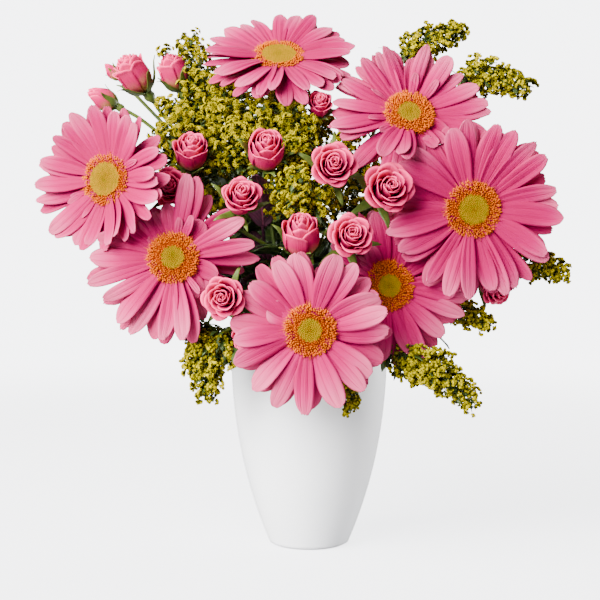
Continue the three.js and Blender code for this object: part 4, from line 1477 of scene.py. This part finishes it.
@dataclass
class RoseSpray(Stemmed):
    """A spray of small roses on one branching stem."""

    fork: Point
    blooms: tuple[Bloom, ...]
    leaf_gap: float = 1.2

    RADIUS = 16.5
    HEIGHT = 29.0
    STEM_RADIUS = 2.1
    TWIG_RADIUS = 1.4
    THORNS = 9
    LEAVES = 7
    LEAFLET = (24.0, 15.0)
    SEPALS = 5

    def head_frame(self, bloom: Bloom) -> Array:
        """The frame of a head, whose origin is the foot of its petals."""
        frame_ = facing(bloom.at, bloom.turn, bloom.tilt)
        frame_[:3, 3] -= frame_[:3, 2] * self.HEIGHT * bloom.size * 0.7
        return frame_

    def rose_petal(self, sheet: Pattern, whorl: Whorl, bloom: Bloom, turn: float,
                   rng: Draws) -> Array:
        """The corners of one petal in the head's frame.

        Args:
            sheet: the blank.
            whorl: the round that it belongs to.
            bloom: the head.
            turn: radians round the head.
            rng: its own small differences.

        Returns:
            The points, in millimetres.
        """
        u, v = sheet.points.T[:2]
        full = self.RADIUS * bloom.size * (0.72 + 0.28 * bloom.open)
        radius = full * whorl.radius * rng.uniform(0.95, 1.04)
        height = self.HEIGHT * bloom.size * whorl.height * rng.uniform(0.96, 1.02)
        ripe = min(bloom.open / 0.5, 1.0)
        height *= 1 + 0.3 * (1 - ripe) * whorl.radius
        lean = whorl.lean + whorl.lean_open * bloom.open - 20 * (1 - ripe) + rng.uniform(-3, 3)
        roll = (whorl.roll + whorl.roll_open * bloom.open) * ripe**1.5 + rng.uniform(-8, 8) * ripe
        corner = rng.uniform(0.12, 0.28)
        v = v * (1 - corner * np.abs(u) ** 2.4) * (1 + 0.02 * np.exp(-((u / 0.2) ** 2)))
        steps = 33
        t = np.linspace(0, 1.02, steps)
        share = 0.55 + 0.75 * np.abs(u) ** 1.6
        base = np.interp(t, [0, 0.2, 0.45, 0.75], [58, 34, 7, lean])
        curl = np.clip((t - 0.8) / 0.2, 0, 1.1) ** 1.3 * roll
        way = np.radians(base[None] + share[:, None] * curl[None])
        above, ahead = arched((way[:, 1:] + way[:, :-1]) / 2, 1.0)
        plain = np.radians(base)
        belly = np.cumsum(np.sin(plain))[: int(steps * 0.62)].max()
        tall = np.cumsum(np.cos(plain))[int(steps * 0.86)]
        foot = 0.1 * full
        at = v / 1.02 * (steps - 1)
        low = np.clip(at.astype(int), 0, steps - 2)
        part = at - low
        rows = np.arange(len(u))
        r = ahead[rows, low] * (1 - part) + ahead[rows, low + 1] * part
        z = above[rows, low] * (1 - part) + above[rows, low + 1] * part
        scale_z = height / tall
        scale_r = np.minimum((radius - foot) / belly, scale_z * 1.6)
        r = foot + r * scale_r
        z = z * scale_z
        wide = math.radians(whorl.spread) * (0.62 + 0.38 * np.sin(held(v / 0.5) * math.pi / 2))
        a = turn + wide * u
        wave = v**3 * bloom.size * (0.3 + 0.7 * ripe)
        r = r * (1 + whorl.spiral * u) + 0.25 * np.sin(u * 7 + rng.uniform(0, 6)) * wave
        z = z + 0.5 * np.sin(u * 5 + rng.uniform(0, 6)) * wave
        return np.c_[r * np.cos(a), r * np.sin(a), z]

    def bloom_piece(self, index: int, bloom: Bloom, sheet: Pattern) -> Piece:
        """One head, petal by petal, from its heart outwards."""
        name = f"rose_{self.number}_{index}"
        rng = np.random.default_rng(100 * self.number + index)
        growth = Growth()
        frame_ = self.head_frame(bloom)
        start = rng.uniform(0, 6)
        grown: list[tuple[Array, float]] = []
        for whorl in WHORLS if bloom.open > 0.05 else WHORLS[1:]:
            start += math.pi / whorl.count + 0.25
            for k in range(whorl.count):
                turn = start + k * ROUND / whorl.count + rng.uniform(-0.12, 0.12)
                grown.append((self.rose_petal(sheet, whorl, bloom, turn, rng), whorl.radius))
        broad = max(float(np.hypot(points[:, 0], points[:, 1]).max()) for points, _ in grown)
        fit = min(self.RADIUS * bloom.size * (0.86 + 0.2 * bloom.open) / broad, 1.0)
        for points, mark in grown:
            points = points * np.array([fit, fit, 1.0])
            tint = rng.uniform(0, 0.5) + (0.5 if bloom.open < 0.36 else 0.0)
            growth.lay(moved(frame_, points), sheet, mark, tint)
        return growth.piece(name, thickness=0.4)

    def leaves_piece(self, main: Line, blade: Pattern, thicket: Thicket) -> Piece:
        """Leaves of toothed leaflets on the stem, where no flower is in their way."""
        rng = np.random.default_rng(700 + self.number)
        growth = Growth()
        steps = np.linspace(0, 1, 5)[:, None]
        low = main.share_above(RIM_PASS_HEIGHT + 14)
        for k, t in enumerate(np.linspace(low, 0.97, self.LEAVES)):
            foot, along = main.at(t), main.heading(t)
            rib = unit(beside(along, k * GOLDEN_ANGLE + self.number) + along * 0.6)
            up = upper_side(rib)
            side = np.cross(up, rib)
            size = rng.uniform(0.8, 1.1)
            for reach, turn in LEAFLETS:
                way = unit(rib * math.cos(math.radians(turn)) + side * math.sin(math.radians(turn)))
                start = foot + rib * reach * size
                length, width = self.LEAFLET[0] * size, self.LEAFLET[1] * size
                points = leaf_blade(blade, Root(start, way, up), length, width, rng, 30, 0.16)
                if all(thicket.clear(point, self.leaf_gap) for point in points[::2]):
                    growth.lay(points, blade, tint=rng.uniform(0, 1))
                    growth.add(*ribbon(foot + (start - foot) * steps, up, 0.8))
        return growth.piece(f"rose_spray_{self.number}_leaves", thickness=0.3)

    def sepal(self, sheet: Pattern, bloom: Bloom, turn: float, rng: Draws) -> Array:
        """The corners of one sepal in the head's frame: it hugs a bud and hangs back from an open rose.

        Args:
            sheet: the blank.
            bloom: the head.
            turn: radians round the head.
            rng: its own small differences.

        Returns:
            The points, in millimetres.
        """
        c, t = sheet.points.T[:2]
        size, tight = bloom.size, 1 - bloom.open
        length = (20 + 8 * tight) * size * rng.uniform(0.85, 1.1)
        run = np.linspace(0, 1, 41)
        lean = 95 - 40 * tight - (60 * tight + 10) * held(run * 1.4)
        lean = lean + rng.uniform(40, 110) * held(run - 0.55) ** 1.2 * 2
        half = (3.0 + 1.6 * tight) * size * (1 - t) ** 0.8
        half = half * (0.55 + 0.6 * np.sin(held(t * 3) * math.pi / 2)) + 0.22
        out = spoke(turn)
        start = (3.9 * size - 0.5 * size * c**2 * (1 - t))[:, None] * out - UP * 0.9 * size
        across = half * c + 1.5 * size * rng.uniform(-1, 1) * t**2
        return arched_sheet(Root(start, out, UP), t, np.radians(90 - lean), length, across)

    def green_piece(self, cloud: Array, main: Line, stock: Stock) -> Piece:
        """The stem along its curve, and the twigs, hips and sepals. The cloud is the solid's corners."""
        name = f"rose_spray_{self.number}_green"
        fork = np.array(self.fork, float)
        spaced = self.line([fork]).spaced(4)
        start = fork - unit(spaced[-1] - spaced[-2]) * 3
        tubes = [(self.whole(main, 24), np.full(26, self.STEM_RADIUS))]
        rng = np.random.default_rng(500 + self.number)
        growth, sepals, sheet = Growth(), Growth(), stock.bract_sheet
        for bloom in self.blooms:
            frame_ = self.head_frame(bloom)
            middle, end = moved(frame_, np.array([[0, 0, -26 * bloom.size], [0, 0, -7 * bloom.size]]))
            twig = fitted(cloud, [Line([start, middle + p, end]) for p in PUSHES], 3, self.TWIG_RADIUS)
            tubes.append((twig.spaced(16), np.full(17, self.TWIG_RADIUS)))
            hip, faces = lathed(np.array(HIP) * bloom.size, 16)
            growth.add(moved(frame_, hip), faces)
            for k in range(self.SEPALS):
                turn = k * ROUND / self.SEPALS + rng.uniform(-0.2, 0.2)
                points = moved(frame_, self.sepal(sheet, bloom, turn, rng))
                sepals.add(points, sheet.faces, mark=sheet.points[:, 1] * 0.7)
        for _ in range(self.THORNS):
            share = rng.uniform(0.15, 0.95)
            at, heading = main.at(share), main.heading(share)
            out = beside(heading, rng.uniform(0, 6))
            root = at + out * (self.STEM_RADIUS - 0.3)
            growth.copy(stock.thorn, aimed(root, out - heading * 0.25, 0, 1.0), 0.5, 1.0)
        stem = rods(name, tubes, 8)
        return joined([stem, growth.piece("hips"), sepals.piece("sepals", thickness=0.4)], name)

    def build(self, stock: Stock) -> None:
        """Makes and dresses the heads, stem and leaves."""
        name = f"rose_spray_{self.number}"
        for i, bloom in enumerate(self.blooms, 1):
            head = self.bloom_piece(i, bloom, stock.rose_sheet)
            finished(head, stock.rose, "rose_petal", f"{name}_bloom_{i}")
        node = name + "_stem"
        cloud = solid_points(node)
        main = self.found(cloud, [np.array(self.fork, float)], 4)
        finished(self.green_piece(cloud, main, stock), stock.green, "green_stem", node)
        finished(self.leaves_piece(main, stock.small_blade, stock.thicket), stock.leafy, "green_stem", node)


# ------------------------------------------------------------------ goldenrod


@dataclass(frozen=True)
class Plume:
    """One plume: its foot and tip, the length of its lowest branches and its share of closed buds."""

    start: Point
    end: Point
    spread: float
    green: float = 0.0


@dataclass
class Goldenrod(Stemmed):
    """A goldenrod stem with its plumes of small starry florets and its narrow leaves."""

    via: Point
    plumes: tuple[Plume, ...]
    shoots: tuple[Plume, ...] = ()
    leaf_length: float = 38.0
    tuft_gap: float = 1.7

    TWIG_RADIUS = 1.1
    TUFT = 5
    PLUME_LEAVES = 14
    STEM_LEAVES = 16
    FLORET_GAP = 1.8
    BRANCH_GAP = 1.5
    LEAF_GAP = 1.2

    def __post_init__(self) -> None:
        """Starts the stem's own growth."""
        self.rng = np.random.default_rng(900 + self.number)
        self.florets, self.blades = Growth(), Growth()
        self.tubes: list[tuple[Array, Array]] = []

    def axis(self, plume: Plume, push: Array) -> Axis:
        """The drooping axis of a plume, pushed aside as its solid is."""
        start = np.array(plume.start, float) + push
        lead = np.array(plume.end, float) - np.array(plume.start, float)
        crown = start + lead * 0.5 + UP * 0.12 * float(np.linalg.norm(lead))

        def at(t: Array | float) -> Array:
            """The point at a share of the axis."""
            k = np.asarray(t, float)[..., None]
            return (1 - k) ** 2 * start + 2 * k * (1 - k) * crown + k**2 * (start + lead)

        return at

    def stems(self) -> tuple[Line, list[Axis]]:
        """Lays the main stem and its forks as the solid has them.

        Returns:
            The main stem's curve and the axes of the plumes and shoots.
        """
        cloud = solid_points(f"goldenrod_{self.number}")
        axes = []
        for plume in self.plumes:
            tips = [nearest(cloud, self.axis(plume, push)(1.0))[0] for push in PUSHES]
            axes.append(self.axis(plume, PUSHES[int(np.argmin(tips))]))
        ends = [axis(0.08) for axis in axes]
        main = self.found(cloud, [np.array(self.via, float), ends[0]], 4)
        self.tubes.append((self.whole(main, 22), np.linspace(1.6, 1.3, 24)))
        fork = main.spaced(4)[2]
        for end in ends[1:]:
            twigs = [Line([fork, fork + (end - fork) * 0.5 + push, end]) for push in PUSHES]
            self.tubes.append((fitted(cloud, twigs, 2, self.TWIG_RADIUS).spaced(12), np.full(13, 1.0)))
        for shoot in self.shoots:
            axis = self.axis(shoot, np.zeros(3))
            twig = Line([fork, (fork + axis(0)) / 2 - UP * 4, axis(0)])
            self.tubes.append((twig.spaced(10), np.full(11, 0.8)))
            axes.append(axis)
        return main, axes

    def flower(self, path: Array, length: float, root: Array, green: float, stock: Stock) -> None:
        """Sets florets along one side branch.

        Args:
            path: the branch's points.
            length: the branch's length.
            root: the plume's axis where the branch leaves it.
            green: the share of closed buds.
            stock: what it is made of.
        """
        rng = self.rng
        branch = Line(list(path))
        tufts = max(int(0.84 * length / self.tuft_gap), 4)
        for i in range(tufts):
            share = 0.16 + 0.84 * (i + rng.uniform(0, 1)) / tufts
            here, heading = branch.at(min(share, 1)), branch.heading(min(share, 0.99))
            outward = unit(here - root + 1e-6)
            out = beside(heading, rng.uniform(0, ROUND))
            out = unit(out + UP * rng.uniform(0.0, 0.9) + outward * 0.4)
            stalk = rng.uniform(0.6, 4.4 - 2.4 * green) * (1.2 - 0.5 * share)
            # Painted shade and painted light: florets near the plume's axis (low depth) get a darker tint
            # and mark for the shade inside the plume, and outer ones (depth near 1) a brighter tint.
            depth = min(share * 0.8 + stalk / 12, 1.0)
            for _ in range(self.TUFT):
                way = unit(out + outward * 0.6 + rng.normal(0, 0.5, 3))
                at = here + out * stalk + way * rng.uniform(1.0, 1.9)
                if not stock.thicket.clear(at, self.FLORET_GAP):
                    continue
                closed = rng.uniform() < green
                stars = stock.open_stars
                star = stock.closed_star if closed else stars[int(rng.integers(0, len(stars)))]
                matrix = aimed(at, way, rng.uniform(0, 6), rng.uniform(0.7, 1.05))
                # Tint and mark fall towards the plume's axis: painted shade inside, painted light outside.
                tint = float(held(rng.normal(0.15 + 0.7 * depth, 0.2))) * (0.8 if closed else 1.0)
                self.florets.copy(star, matrix, tint, star.mark * (0.5 + 0.5 * depth))

    def grow(self, plume: Plume, axis: Axis, stock: Stock) -> None:
        """Grows one plume: its axis, side branches, florets and the small leaves among them."""
        rng = self.rng
        reach = float(np.linalg.norm(np.array(plume.end) - np.array(plume.start)))
        self.tubes.append((axis(np.linspace(0.02, 0.98, 14)), np.linspace(1.1, 0.4, 14)))
        count = int(12 + reach / 2.3)
        steps = np.linspace(0, 1, 7)[:, None]
        for k in range(self.PLUME_LEAVES):
            t = 0.03 + 0.8 * k / self.PLUME_LEAVES
            along = unit(axis(t + 0.02) - axis(t - 0.02))
            way = unit(beside(along, k * GOLDEN_ANGLE + 1.2, UP) + along * 0.5)
            self.leaf(axis(t), way, plume.spread * (0.95 - 0.6 * t), 5.5, stock)
        for k in range(count):
            t = 0.02 + 0.94 * (k / count) ** 0.9
            root = axis(t)
            along = unit(axis(min(t + 0.02, 1.0)) - axis(t - 0.02))
            out = beside(along, k * GOLDEN_ANGLE, UP)
            length = plume.spread * (1 - 0.72 * t) * rng.uniform(0.75, 1.15)
            path = root + along * length * (0.12 * steps + 0.5 * steps**2)
            path = path + out * length * (1.02 * steps - 0.2 * steps**2)
            path = path + UP * length * 0.10 * np.sin(steps * math.pi)
            free = [stock.thicket.clear(point, self.BRANCH_GAP) for point in path]
            end = free.index(False) if False in free else len(path)
            if end < 3:
                continue
            path = path[:end]
            self.tubes.append((path, np.linspace(0.55, 0.25, end)))
            self.flower(path, length * end / len(steps), root, plume.green, stock)
            for _ in range(2):
                at = path[int(rng.integers(0, end // 2 + 1))]
                way = unit(out + along * 0.7 + rng.normal(0, 0.3, 3))
                self.leaf(at, way, rng.uniform(0.35, 0.65) * length, 3.2, stock)

    def leaf(self, start: Array, way: Array, length: float, width: float, stock: Stock) -> None:
        """Adds one narrow leaf, unless a flower is in its way."""
        root = Root(start, way, upper_side(way))
        points = leaf_blade(stock.narrow_blade, root, length, width, self.rng)
        if all(stock.thicket.clear(point, self.LEAF_GAP) for point in points[::3]):
            self.blades.lay(points, stock.narrow_blade, tint=self.rng.uniform(0, 1))

    def build(self, stock: Stock) -> None:
        """Makes and dresses the florets, stems and leaves."""
        node = f"goldenrod_{self.number}"
        main, axes = self.stems()
        for plume, axis in zip((*self.plumes, *self.shoots), axes):
            self.grow(plume, axis, stock)
        low = main.share_above(RIM_PASS_HEIGHT + 18)
        for k, t in enumerate(np.linspace(low, 0.98, self.STEM_LEAVES)):
            along = main.heading(t)
            way = unit(beside(along, k * GOLDEN_ANGLE) + along * 0.7)
            length = self.leaf_length * self.rng.uniform(0.8, 1.2)
            self.leaf(main.at(t), way, length, length * 0.2, stock)
        finished(self.florets.piece(node + "_florets", smooth=False), stock.golden, "goldenrod", node)
        finished(rods(node + "_green", self.tubes, 6), stock.green, "green_stem", node)
        finished(self.blades.piece(node + "_leaves", thickness=0.25), stock.leafy, "green_stem", node)


# ------------------------------------------------------------------ dark leafy stems


@dataclass
class LeafyStem(Stemmed):
    """A stem with dark, pointed leaves set alternately along it."""

    via: Point
    tip: Point
    leaves: int
    seed: int

    LENGTH = 52.0
    WIDTH = 24.0
    LIFT = 18.0
    DROOP = 50.0
    STATIONS = (0, 0.3, 0.68, 1)

    def way_of(self, cloud: Array, root: Root, size: float) -> Optional[tuple[float, float]]:
        """How the solid leaf is bent, or nothing where there is none.

        Args:
            cloud: the solid's corners.
            root: where the leaf grows.
            size: its share of a full leaf.

        Returns:
            The bend in degrees and its share of its length.
        """
        gaps = []
        for bend, share in BENDS:
            length = self.LENGTH * size * share
            tip, _ = arch_end(root, self.LIFT + bend, self.DROOP, self.STATIONS, length)
            gaps.append(nearest(cloud, tip)[0])
        best = int(np.argmin(gaps))
        return BENDS[best] if gaps[best] < 1.5 else None

    def leaf(self, sheet: Pattern, rng: Draws, root: Root, size: float, bend: float) -> Array:
        """The corners of one leaf, folded along its rib and waved at its edge.

        Args:
            sheet: the blank.
            rng: its own small differences.
            root: where it grows.
            size: its share of a full leaf.
            bend: degrees that it is bent by.

        Returns:
            The points, in millimetres.
        """
        c, s = sheet.points.T[:2]
        slopes = np.radians(self.LIFT + bend - self.DROOP * np.linspace(0, 1, 41))
        half = self.WIDTH * size / 2 * np.sin(held(s) ** 0.8 * math.pi) ** 0.85 + 0.5
        fold = 0.16 * half * np.abs(c) + 0.35 * np.sin(s * 22 - np.abs(c) * 4) * np.abs(c)
        fold = fold + 0.8 * np.sin(s * 7 + rng.uniform(0, 6)) * c**2
        return arched_sheet(root, s, slopes, self.LENGTH * size, half * c, fold)

    def build(self, stock: Stock) -> None:
        """Makes and dresses the stem and leaves."""
        node = f"leafy_stem_{self.number}"
        cloud = solid_points(node)
        line = self.found(cloud, [np.array(self.via, float), np.array(self.tip, float)], 5)
        tube = (self.whole(line, 22), np.linspace(1.6, 1.2, 24))
        upper = Line(list(line.spaced(5)[1:]))
        growth = Growth()
        rng = np.random.default_rng(self.seed)
        for k in range(self.leaves):
            t = min(0.3 + 0.7 * k / (self.leaves - 1), 0.98)
            start = upper.at(t)
            along = unit(upper.at(min(t + 0.005, 1)) - upper.at(t - 0.005))
            last = k == self.leaves - 1
            sideways = unit(np.cross(along, UP)) * (1 if k % 2 else -1)
            out = along if last else unit(sideways + along * 0.7)
            up = unit(np.cross(np.cross(UP if last else along, out), out))
            up = -up if up[2] < 0 else up
            size = 0.8 + 0.3 * draw(self.seed, k)
            root = Root(start, out, up)
            way = self.way_of(cloud, root, size)
            if way:
                points = self.leaf(stock.leaf_sheet, rng, root, size * way[1], way[0])
                growth.lay(points, stock.leaf_sheet, tint=rng.uniform(0, 1))
        leaves = growth.piece(node + "_leaves", thickness=0.5)
        piece = joined([leaves, rods(node + "_stalk", [tube], 8)], node + "_dark")
        finished(piece, stock.dark, "dark_leaf", node)


# ------------------------------------------------------------------ the studio


@dataclass(frozen=True)
class Studio:
    """The plain pale floor, the soft lights and the camera of the photograph's view."""

    eye: Point = (-6.5, -1000.0, 236.0)
    pitch: float = -3.5
    lens: float = 84.0
    ambient: float = 0.2
    backdrop: float = 6.0
    floor: Colour = (0.36, 0.36, 0.37)
    lift: float = 3.5
    fade: tuple[float, float] = (0.35, 1.6)

    PAPER = (0.96, 0.97, 1.0, 1.0)
    LAMPS = (
        ("key", (-1.6, -1.35, 1.4), 2.0, 390, (1.0, 0.99, 0.975)),
        ("front", (-1.0, -1.9, 1.2), 1.2, 100, (1.0, 1.0, 1.0)),
        ("edge", (1.7, 1.1, 0.4), 0.6, 90, (1.0, 1.0, 1.0)),
        ("behind", (0.2, 1.9, 1.9), 1.6, 70, (1.0, 1.0, 1.0)),
    )

    def sweep(self) -> None:
        """A pale floor whose far part is as bright as what is behind it, so that no edge shows."""
        deselect()
        bpy.ops.mesh.primitive_plane_add(size=12)
        floor = bpy.context.object
        floor.name = "floor"
        f = Finish("pale_floor", 0.8, gloss=0.0)
        place = f.new("ShaderNodeVectorMath", operation="LENGTH")
        f.feed(place.inputs[0], f.place())
        far = f.span(place.outputs["Value"], *self.fade)
        f.colour(f.mix(far, self.floor, (0.0, 0.0, 0.0)))
        seen = f.new("ShaderNodeLightPath").outputs["Is Camera Ray"]
        glow = f.span(far, 0.0, 1.0, self.lift, self.backdrop)
        f.shader.inputs["Emission Color"].default_value = self.PAPER
        f.feed(f.shader.inputs["Emission Strength"], f.times(seen, glow))
        f.dress(floor)

    def lamp(self, name: str, at: Point, size: float, power: float, tone: Colour) -> None:
        """A soft square light that looks at the flowers."""
        deselect()
        bpy.ops.object.light_add(type="AREA", location=at)
        lamp = bpy.context.object
        lamp.name = name
        lamp.data.size, lamp.data.energy, lamp.data.color = size, power, tone
        lamp.rotation_euler = (Vector((0, 0, 0.2)) - Vector(at)).to_track_quat("-Z", "Y").to_euler()

    def build(self) -> None:
        """Makes the sweep, lights, surroundings and camera."""
        self.sweep()
        for lamp in self.LAMPS:
            self.lamp(*lamp)
        world = bpy.data.worlds.new("studio")
        bpy.context.scene.world = world
        world.use_nodes = True
        w = Weaver(world.node_tree)
        background = world.node_tree.nodes["Background"]
        background.inputs[0].default_value = self.PAPER
        seen = w.new("ShaderNodeLightPath").outputs["Is Camera Ray"]
        w.feed(background.inputs[1], w.span(seen, 0.0, 1.0, self.ambient, self.backdrop))
        deselect()
        bpy.ops.object.camera_add(location=Vector(self.eye) * MM)
        camera = bpy.context.object
        camera.rotation_euler = (math.radians(90 + self.pitch), 0, 0)
        camera.data.lens, camera.data.sensor_width = self.lens, 36.0
        camera.data.clip_start, camera.data.clip_end = 0.05, 30.0
        bpy.context.scene.camera = camera


# ------------------------------------------------------------------ the arrangement

# The pale values are partly each head's own colour and partly painted light that evens out how brightly the
# lamps reach each head.
GERBERAS = (
    Gerbera(1, Ring.OUTER, 203, (-135, -62, 259), -24, 8, 51, 8, -18, (44, 16), 11,
            eye=11.2, ring_width=4.2, petals=22, breadth=0.68, pale=0.3, sun=0.9, inner=5),
    Gerbera(2, Ring.OUTER, 229, (-90, -77, 207), -2, 12, 57, 8, 13, (44, 14), 23,
            petals=21, breadth=0.74, pale=0.56, inner=4, short=(86, 135, 0.6)),
    Gerbera(3, Ring.OUTER, 270, (0, -95, 161), 0, 4, 54, 7, 10, (28, -2), 37,
            petals=17, breadth=0.92, pale=0.52),
    Gerbera(4, Ring.OUTER, 300, (53, -58, 188), 10, 2, 54, 9, 12, (40, 14), 41,
            petals=20, breadth=0.78, pale=0.46),
    Gerbera(5, Ring.OUTER, 328, (109, -59, 239), 9, 2, 61, 7, 10, (44, 18), 53,
            eye=10.4, ring_width=6.8, petals=24, breadth=0.83, pale=0.24),
    Gerbera(6, Ring.INNER, 335, (67, -48, 303), 5, 31, 55, 9, 12, (40, 20), 67,
            petals=24, breadth=0.7, pale=0.5, inner=5),
    Gerbera(7, Ring.CENTRE, 200, (-21, -22, 344), 2, 52, 53, 10, 16, (36, 22), 79,
            eye=11.8, ring_width=3.6, petals=22, breadth=0.69, pale=0.32, sun=0.9),
)

ROSE_SPRAYS = (
    RoseSpray(1, Ring.INNER, 178, (-60, 14, 256), (
        Bloom((-125, -10, 337), -62, 52, 0.9, 0.35),
        Bloom((-148, -4, 319), -82, 28, 0.66, 0.1),
        Bloom((-96, -14, 338), -60, 66, 0.8, 0.3),
        Bloom((-143, 20, 340), -95, 45, 0.42, 0.0),
    )),
    RoseSpray(2, Ring.INNER, 206, (-52, -24, 220), (
        Bloom((-93, -57, 254), -8, 12, 0.88, 0.7),
        Bloom((-80, -52, 280), 6, 44, 0.84, 0.35),
    )),
    RoseSpray(3, Ring.INNER, 236, (-24, -36, 214), (
        Bloom((-29, -78, 280), 2, 30, 0.96, 0.3),
        Bloom((-45, -82, 248), 8, 28, 0.9, 0.5),
    )),
    RoseSpray(4, Ring.INNER, 305, (22, -34, 218), (
        Bloom((15, -84, 268), 4, 12, 1.02, 0.7),
        Bloom((51, -79, 253), 12, 14, 1.1, 0.75),
        Bloom((7, -48, 311), 4, 30, 0.6, 0.4),
    )),
    RoseSpray(5, Ring.INNER, 270, (2, -38, 188), (
        Bloom((-6, -84, 225), -4, 46, 1.0, 0.25),
        Bloom((27, -87, 222), 6, 18, 0.96, 0.75),
    )),
    RoseSpray(6, Ring.OUTER, 252, (-28, -50, 164), (
        Bloom((-56, -93, 182), -8, 4, 0.94, 0.8),
        Bloom((-42, -90, 156), -26, -24, 0.66, 0.3),
    )),
    RoseSpray(7, Ring.OUTER, 314, (70, -36, 174), (
        Bloom((128, -42, 186), 28, -18, 0.86, 0.6),
    ), leaf_gap=5.0),
)

GOLDENRODS = (
    Goldenrod(1, Ring.INNER, 150, (-36, 2, 226), (
        Plume((-64, -14, 288), (-86, -16, 358), 26),
        Plume((-54, -32, 262), (-92, -40, 304), 22),
    ), (
        Plume((-54, -22, 284), (-64, -26, 328), 20),
        Plume((-46, -28, 256), (-50, -40, 296), 18),
        Plume((-66, -12, 276), (-84, -4, 330), 20),
        Plume((-62, -28, 258), (-106, -28, 294), 19),
        Plume((-64, -18, 274), (-104, -18, 314), 17),
        Plume((-70, -14, 250), (-112, -12, 284), 19),
        Plume((-78, -14, 318), (-101, -16, 349), 14),
    )),
    Goldenrod(2, Ring.INNER, 110, (-28, 4, 230), (
        Plume((-42, -22, 276), (-50, -30, 334), 24),
        Plume((-22, -36, 268), (-8, -54, 316), 20),
    ), (
        Plume((-28, -30, 272), (-27, -42, 318), 19),
        Plume((-12, -30, 258), (2, -46, 302), 18),
        Plume((-34, -20, 256), (-30, -10, 310), 20),
        Plume((-20, 0, 262), (-14, 14, 322), 24),
        Plume((-16, -8, 268), (-18, -12, 318), 20),
        Plume((-48, -14, 226), (-76, -26, 252), 17),
        Plume((-8, -18, 262), (14, -22, 304), 17),
    )),
    Goldenrod(3, Ring.MIDDLE, 287, (4, -44, 206), (
        Plume((0, -58, 234), (-8, -88, 262), 22, 0.25),
    ), (
        Plume((2, -50, 226), (8, -74, 252), 20, 0.25),
        Plume((-8, -46, 228), (-24, -62, 262), 18, 0.3),
        Plume((-4, -48, 240), (-12, -66, 284), 13, 0.8),
        Plume((12, -36, 258), (34, -52, 296), 15, 0.3),
        Plume((18, -26, 234), (42, -28, 272), 18, 0.3),
        Plume((30, -24, 224), (64, -24, 250), 17, 0.3),
        Plume((36, -22, 214), (78, -20, 240), 15, 0.3),
    )),
    Goldenrod(4, Ring.INNER, 12, (34, 12, 256), (
        Plume((64, 6, 346), (112, 16, 367), 17, 0.75),
    ), leaf_length=18, tuft_gap=1.05),
    Goldenrod(5, Ring.OUTER, 8, (70, 10, 250), (
        Plume((106, 4, 334), (157, -4, 323), 18, 0.75),
    ), leaf_length=18, tuft_gap=1.05),
    Goldenrod(6, Ring.OUTER, 343, (84, -10, 180), (
        Plume((138, -20, 202), (180, -26, 193), 16, 0.75),
        Plume((98, -18, 170), (126, -34, 157), 13, 0.75),
    ), leaf_length=20, tuft_gap=1.05),
    Goldenrod(7, Ring.OUTER, 285, (30, -60, 154), (
        Plume((58, -58, 144), (114, -60, 106), 22, 0.75),
        Plume((26, -68, 134), (27, -78, 104), 12, 0.75),
    ), (
        Plume((50, -54, 146), (86, -66, 122), 18, 0.75),
    ), leaf_length=20, tuft_gap=1.05),
    Goldenrod(8, Ring.OUTER, 240, (-38, -54, 164), (
        Plume((-62, -66, 158), (-70, -78, 112), 20, 0.75),
    ), (
        Plume((-66, -60, 160), (-78, -70, 128), 18, 0.75),
    ), leaf_length=22, tuft_gap=1.05),
    Goldenrod(9, Ring.OUTER, 132, (-48, 44, 210), (
        Plume((-62, 52, 246), (-90, 60, 310), 24, 0.1),
    )),
    Goldenrod(10, Ring.OUTER, 52, (46, 46, 210), (
        Plume((58, 54, 246), (84, 66, 304), 24, 0.1),
    )),
    Goldenrod(11, Ring.OUTER, 92, (-2, 58, 196), (
        Plume((-4, 66, 220), (-14, 96, 262), 14, 0.1),
    )),
)

LEAFY_STEMS = (
    LeafyStem(1, Ring.OUTER, 176, (-64, 0, 190), (-104, -26, 198), 4, 5),
    LeafyStem(2, Ring.MIDDLE, 254, (-26, -28, 186), (-32, -38, 228), 4, 8),
)

PETALS = PetalFinish(
    "gerbera_petal", (0.22, 0.0, 0.045), (0.54, 0.005, 0.15), (0.8, 0.2, 0.33), (0.3, 0.0, 0.06)
)
DISC = DiscFinish(
    "gerbera_disc", (0.155, 0.105, 0.0), (0.215, 0.12, 0.0), (0.4, 0.058, 0.0), (0.63, 0.17, 0.0),
    (0.45, 0.03, 0.012),
)
ROSES = RosePetalFinish(
    "rose_petal", (0.2, 0.0, 0.04), (0.36, 0.002, 0.065), (0.8, 0.05, 0.17), (0.36, 0.3, 0.06)
)
GREEN = GreenFinish("green_stem", (0.09, 0.12, 0.015), (0.035, 0.06, 0.008), (0.14, 0.14, 0.03))
# The foot and middle are the florets' green base, kept very dark as painted shade between florets.
GOLD = GoldenrodFinish(
    "goldenrod", (0.01, 0.012, 0.0), (0.04, 0.038, 0.0), (0.2, 0.17, 0.0), (0.54, 0.43, 0.0)
)
DARK = LeafFinish("dark_leaf", (0.05, 0.006, 0.022), (0.02, 0.003, 0.01), (0.16, 0.03, 0.06))
GLAZE = GlazeFinish("white_glaze", (0.86, 0.86, 0.87), (0.82, 0.83, 0.85))
LEAF = LeafFinish("green_leaf", (0.04, 0.07, 0.012), (0.018, 0.034, 0.008), (0.1, 0.14, 0.03))
WATER = WaterFinish("water", (0.86, 0.93, 0.88), (0.93, 0.97, 0.95))


def main() -> None:
    """Builds the arrangement in order."""
    logging.basicConfig(level=logging.INFO, format="%(message)s")
    Studio().build()
    Vase().build(GLAZE.material(), WATER.material())
    stock = Stock()
    for plant in (*GERBERAS, *ROSE_SPRAYS, *GOLDENRODS, *LEAFY_STEMS):
        plant.build(stock)
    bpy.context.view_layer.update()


if __name__ == "__main__":
    main()
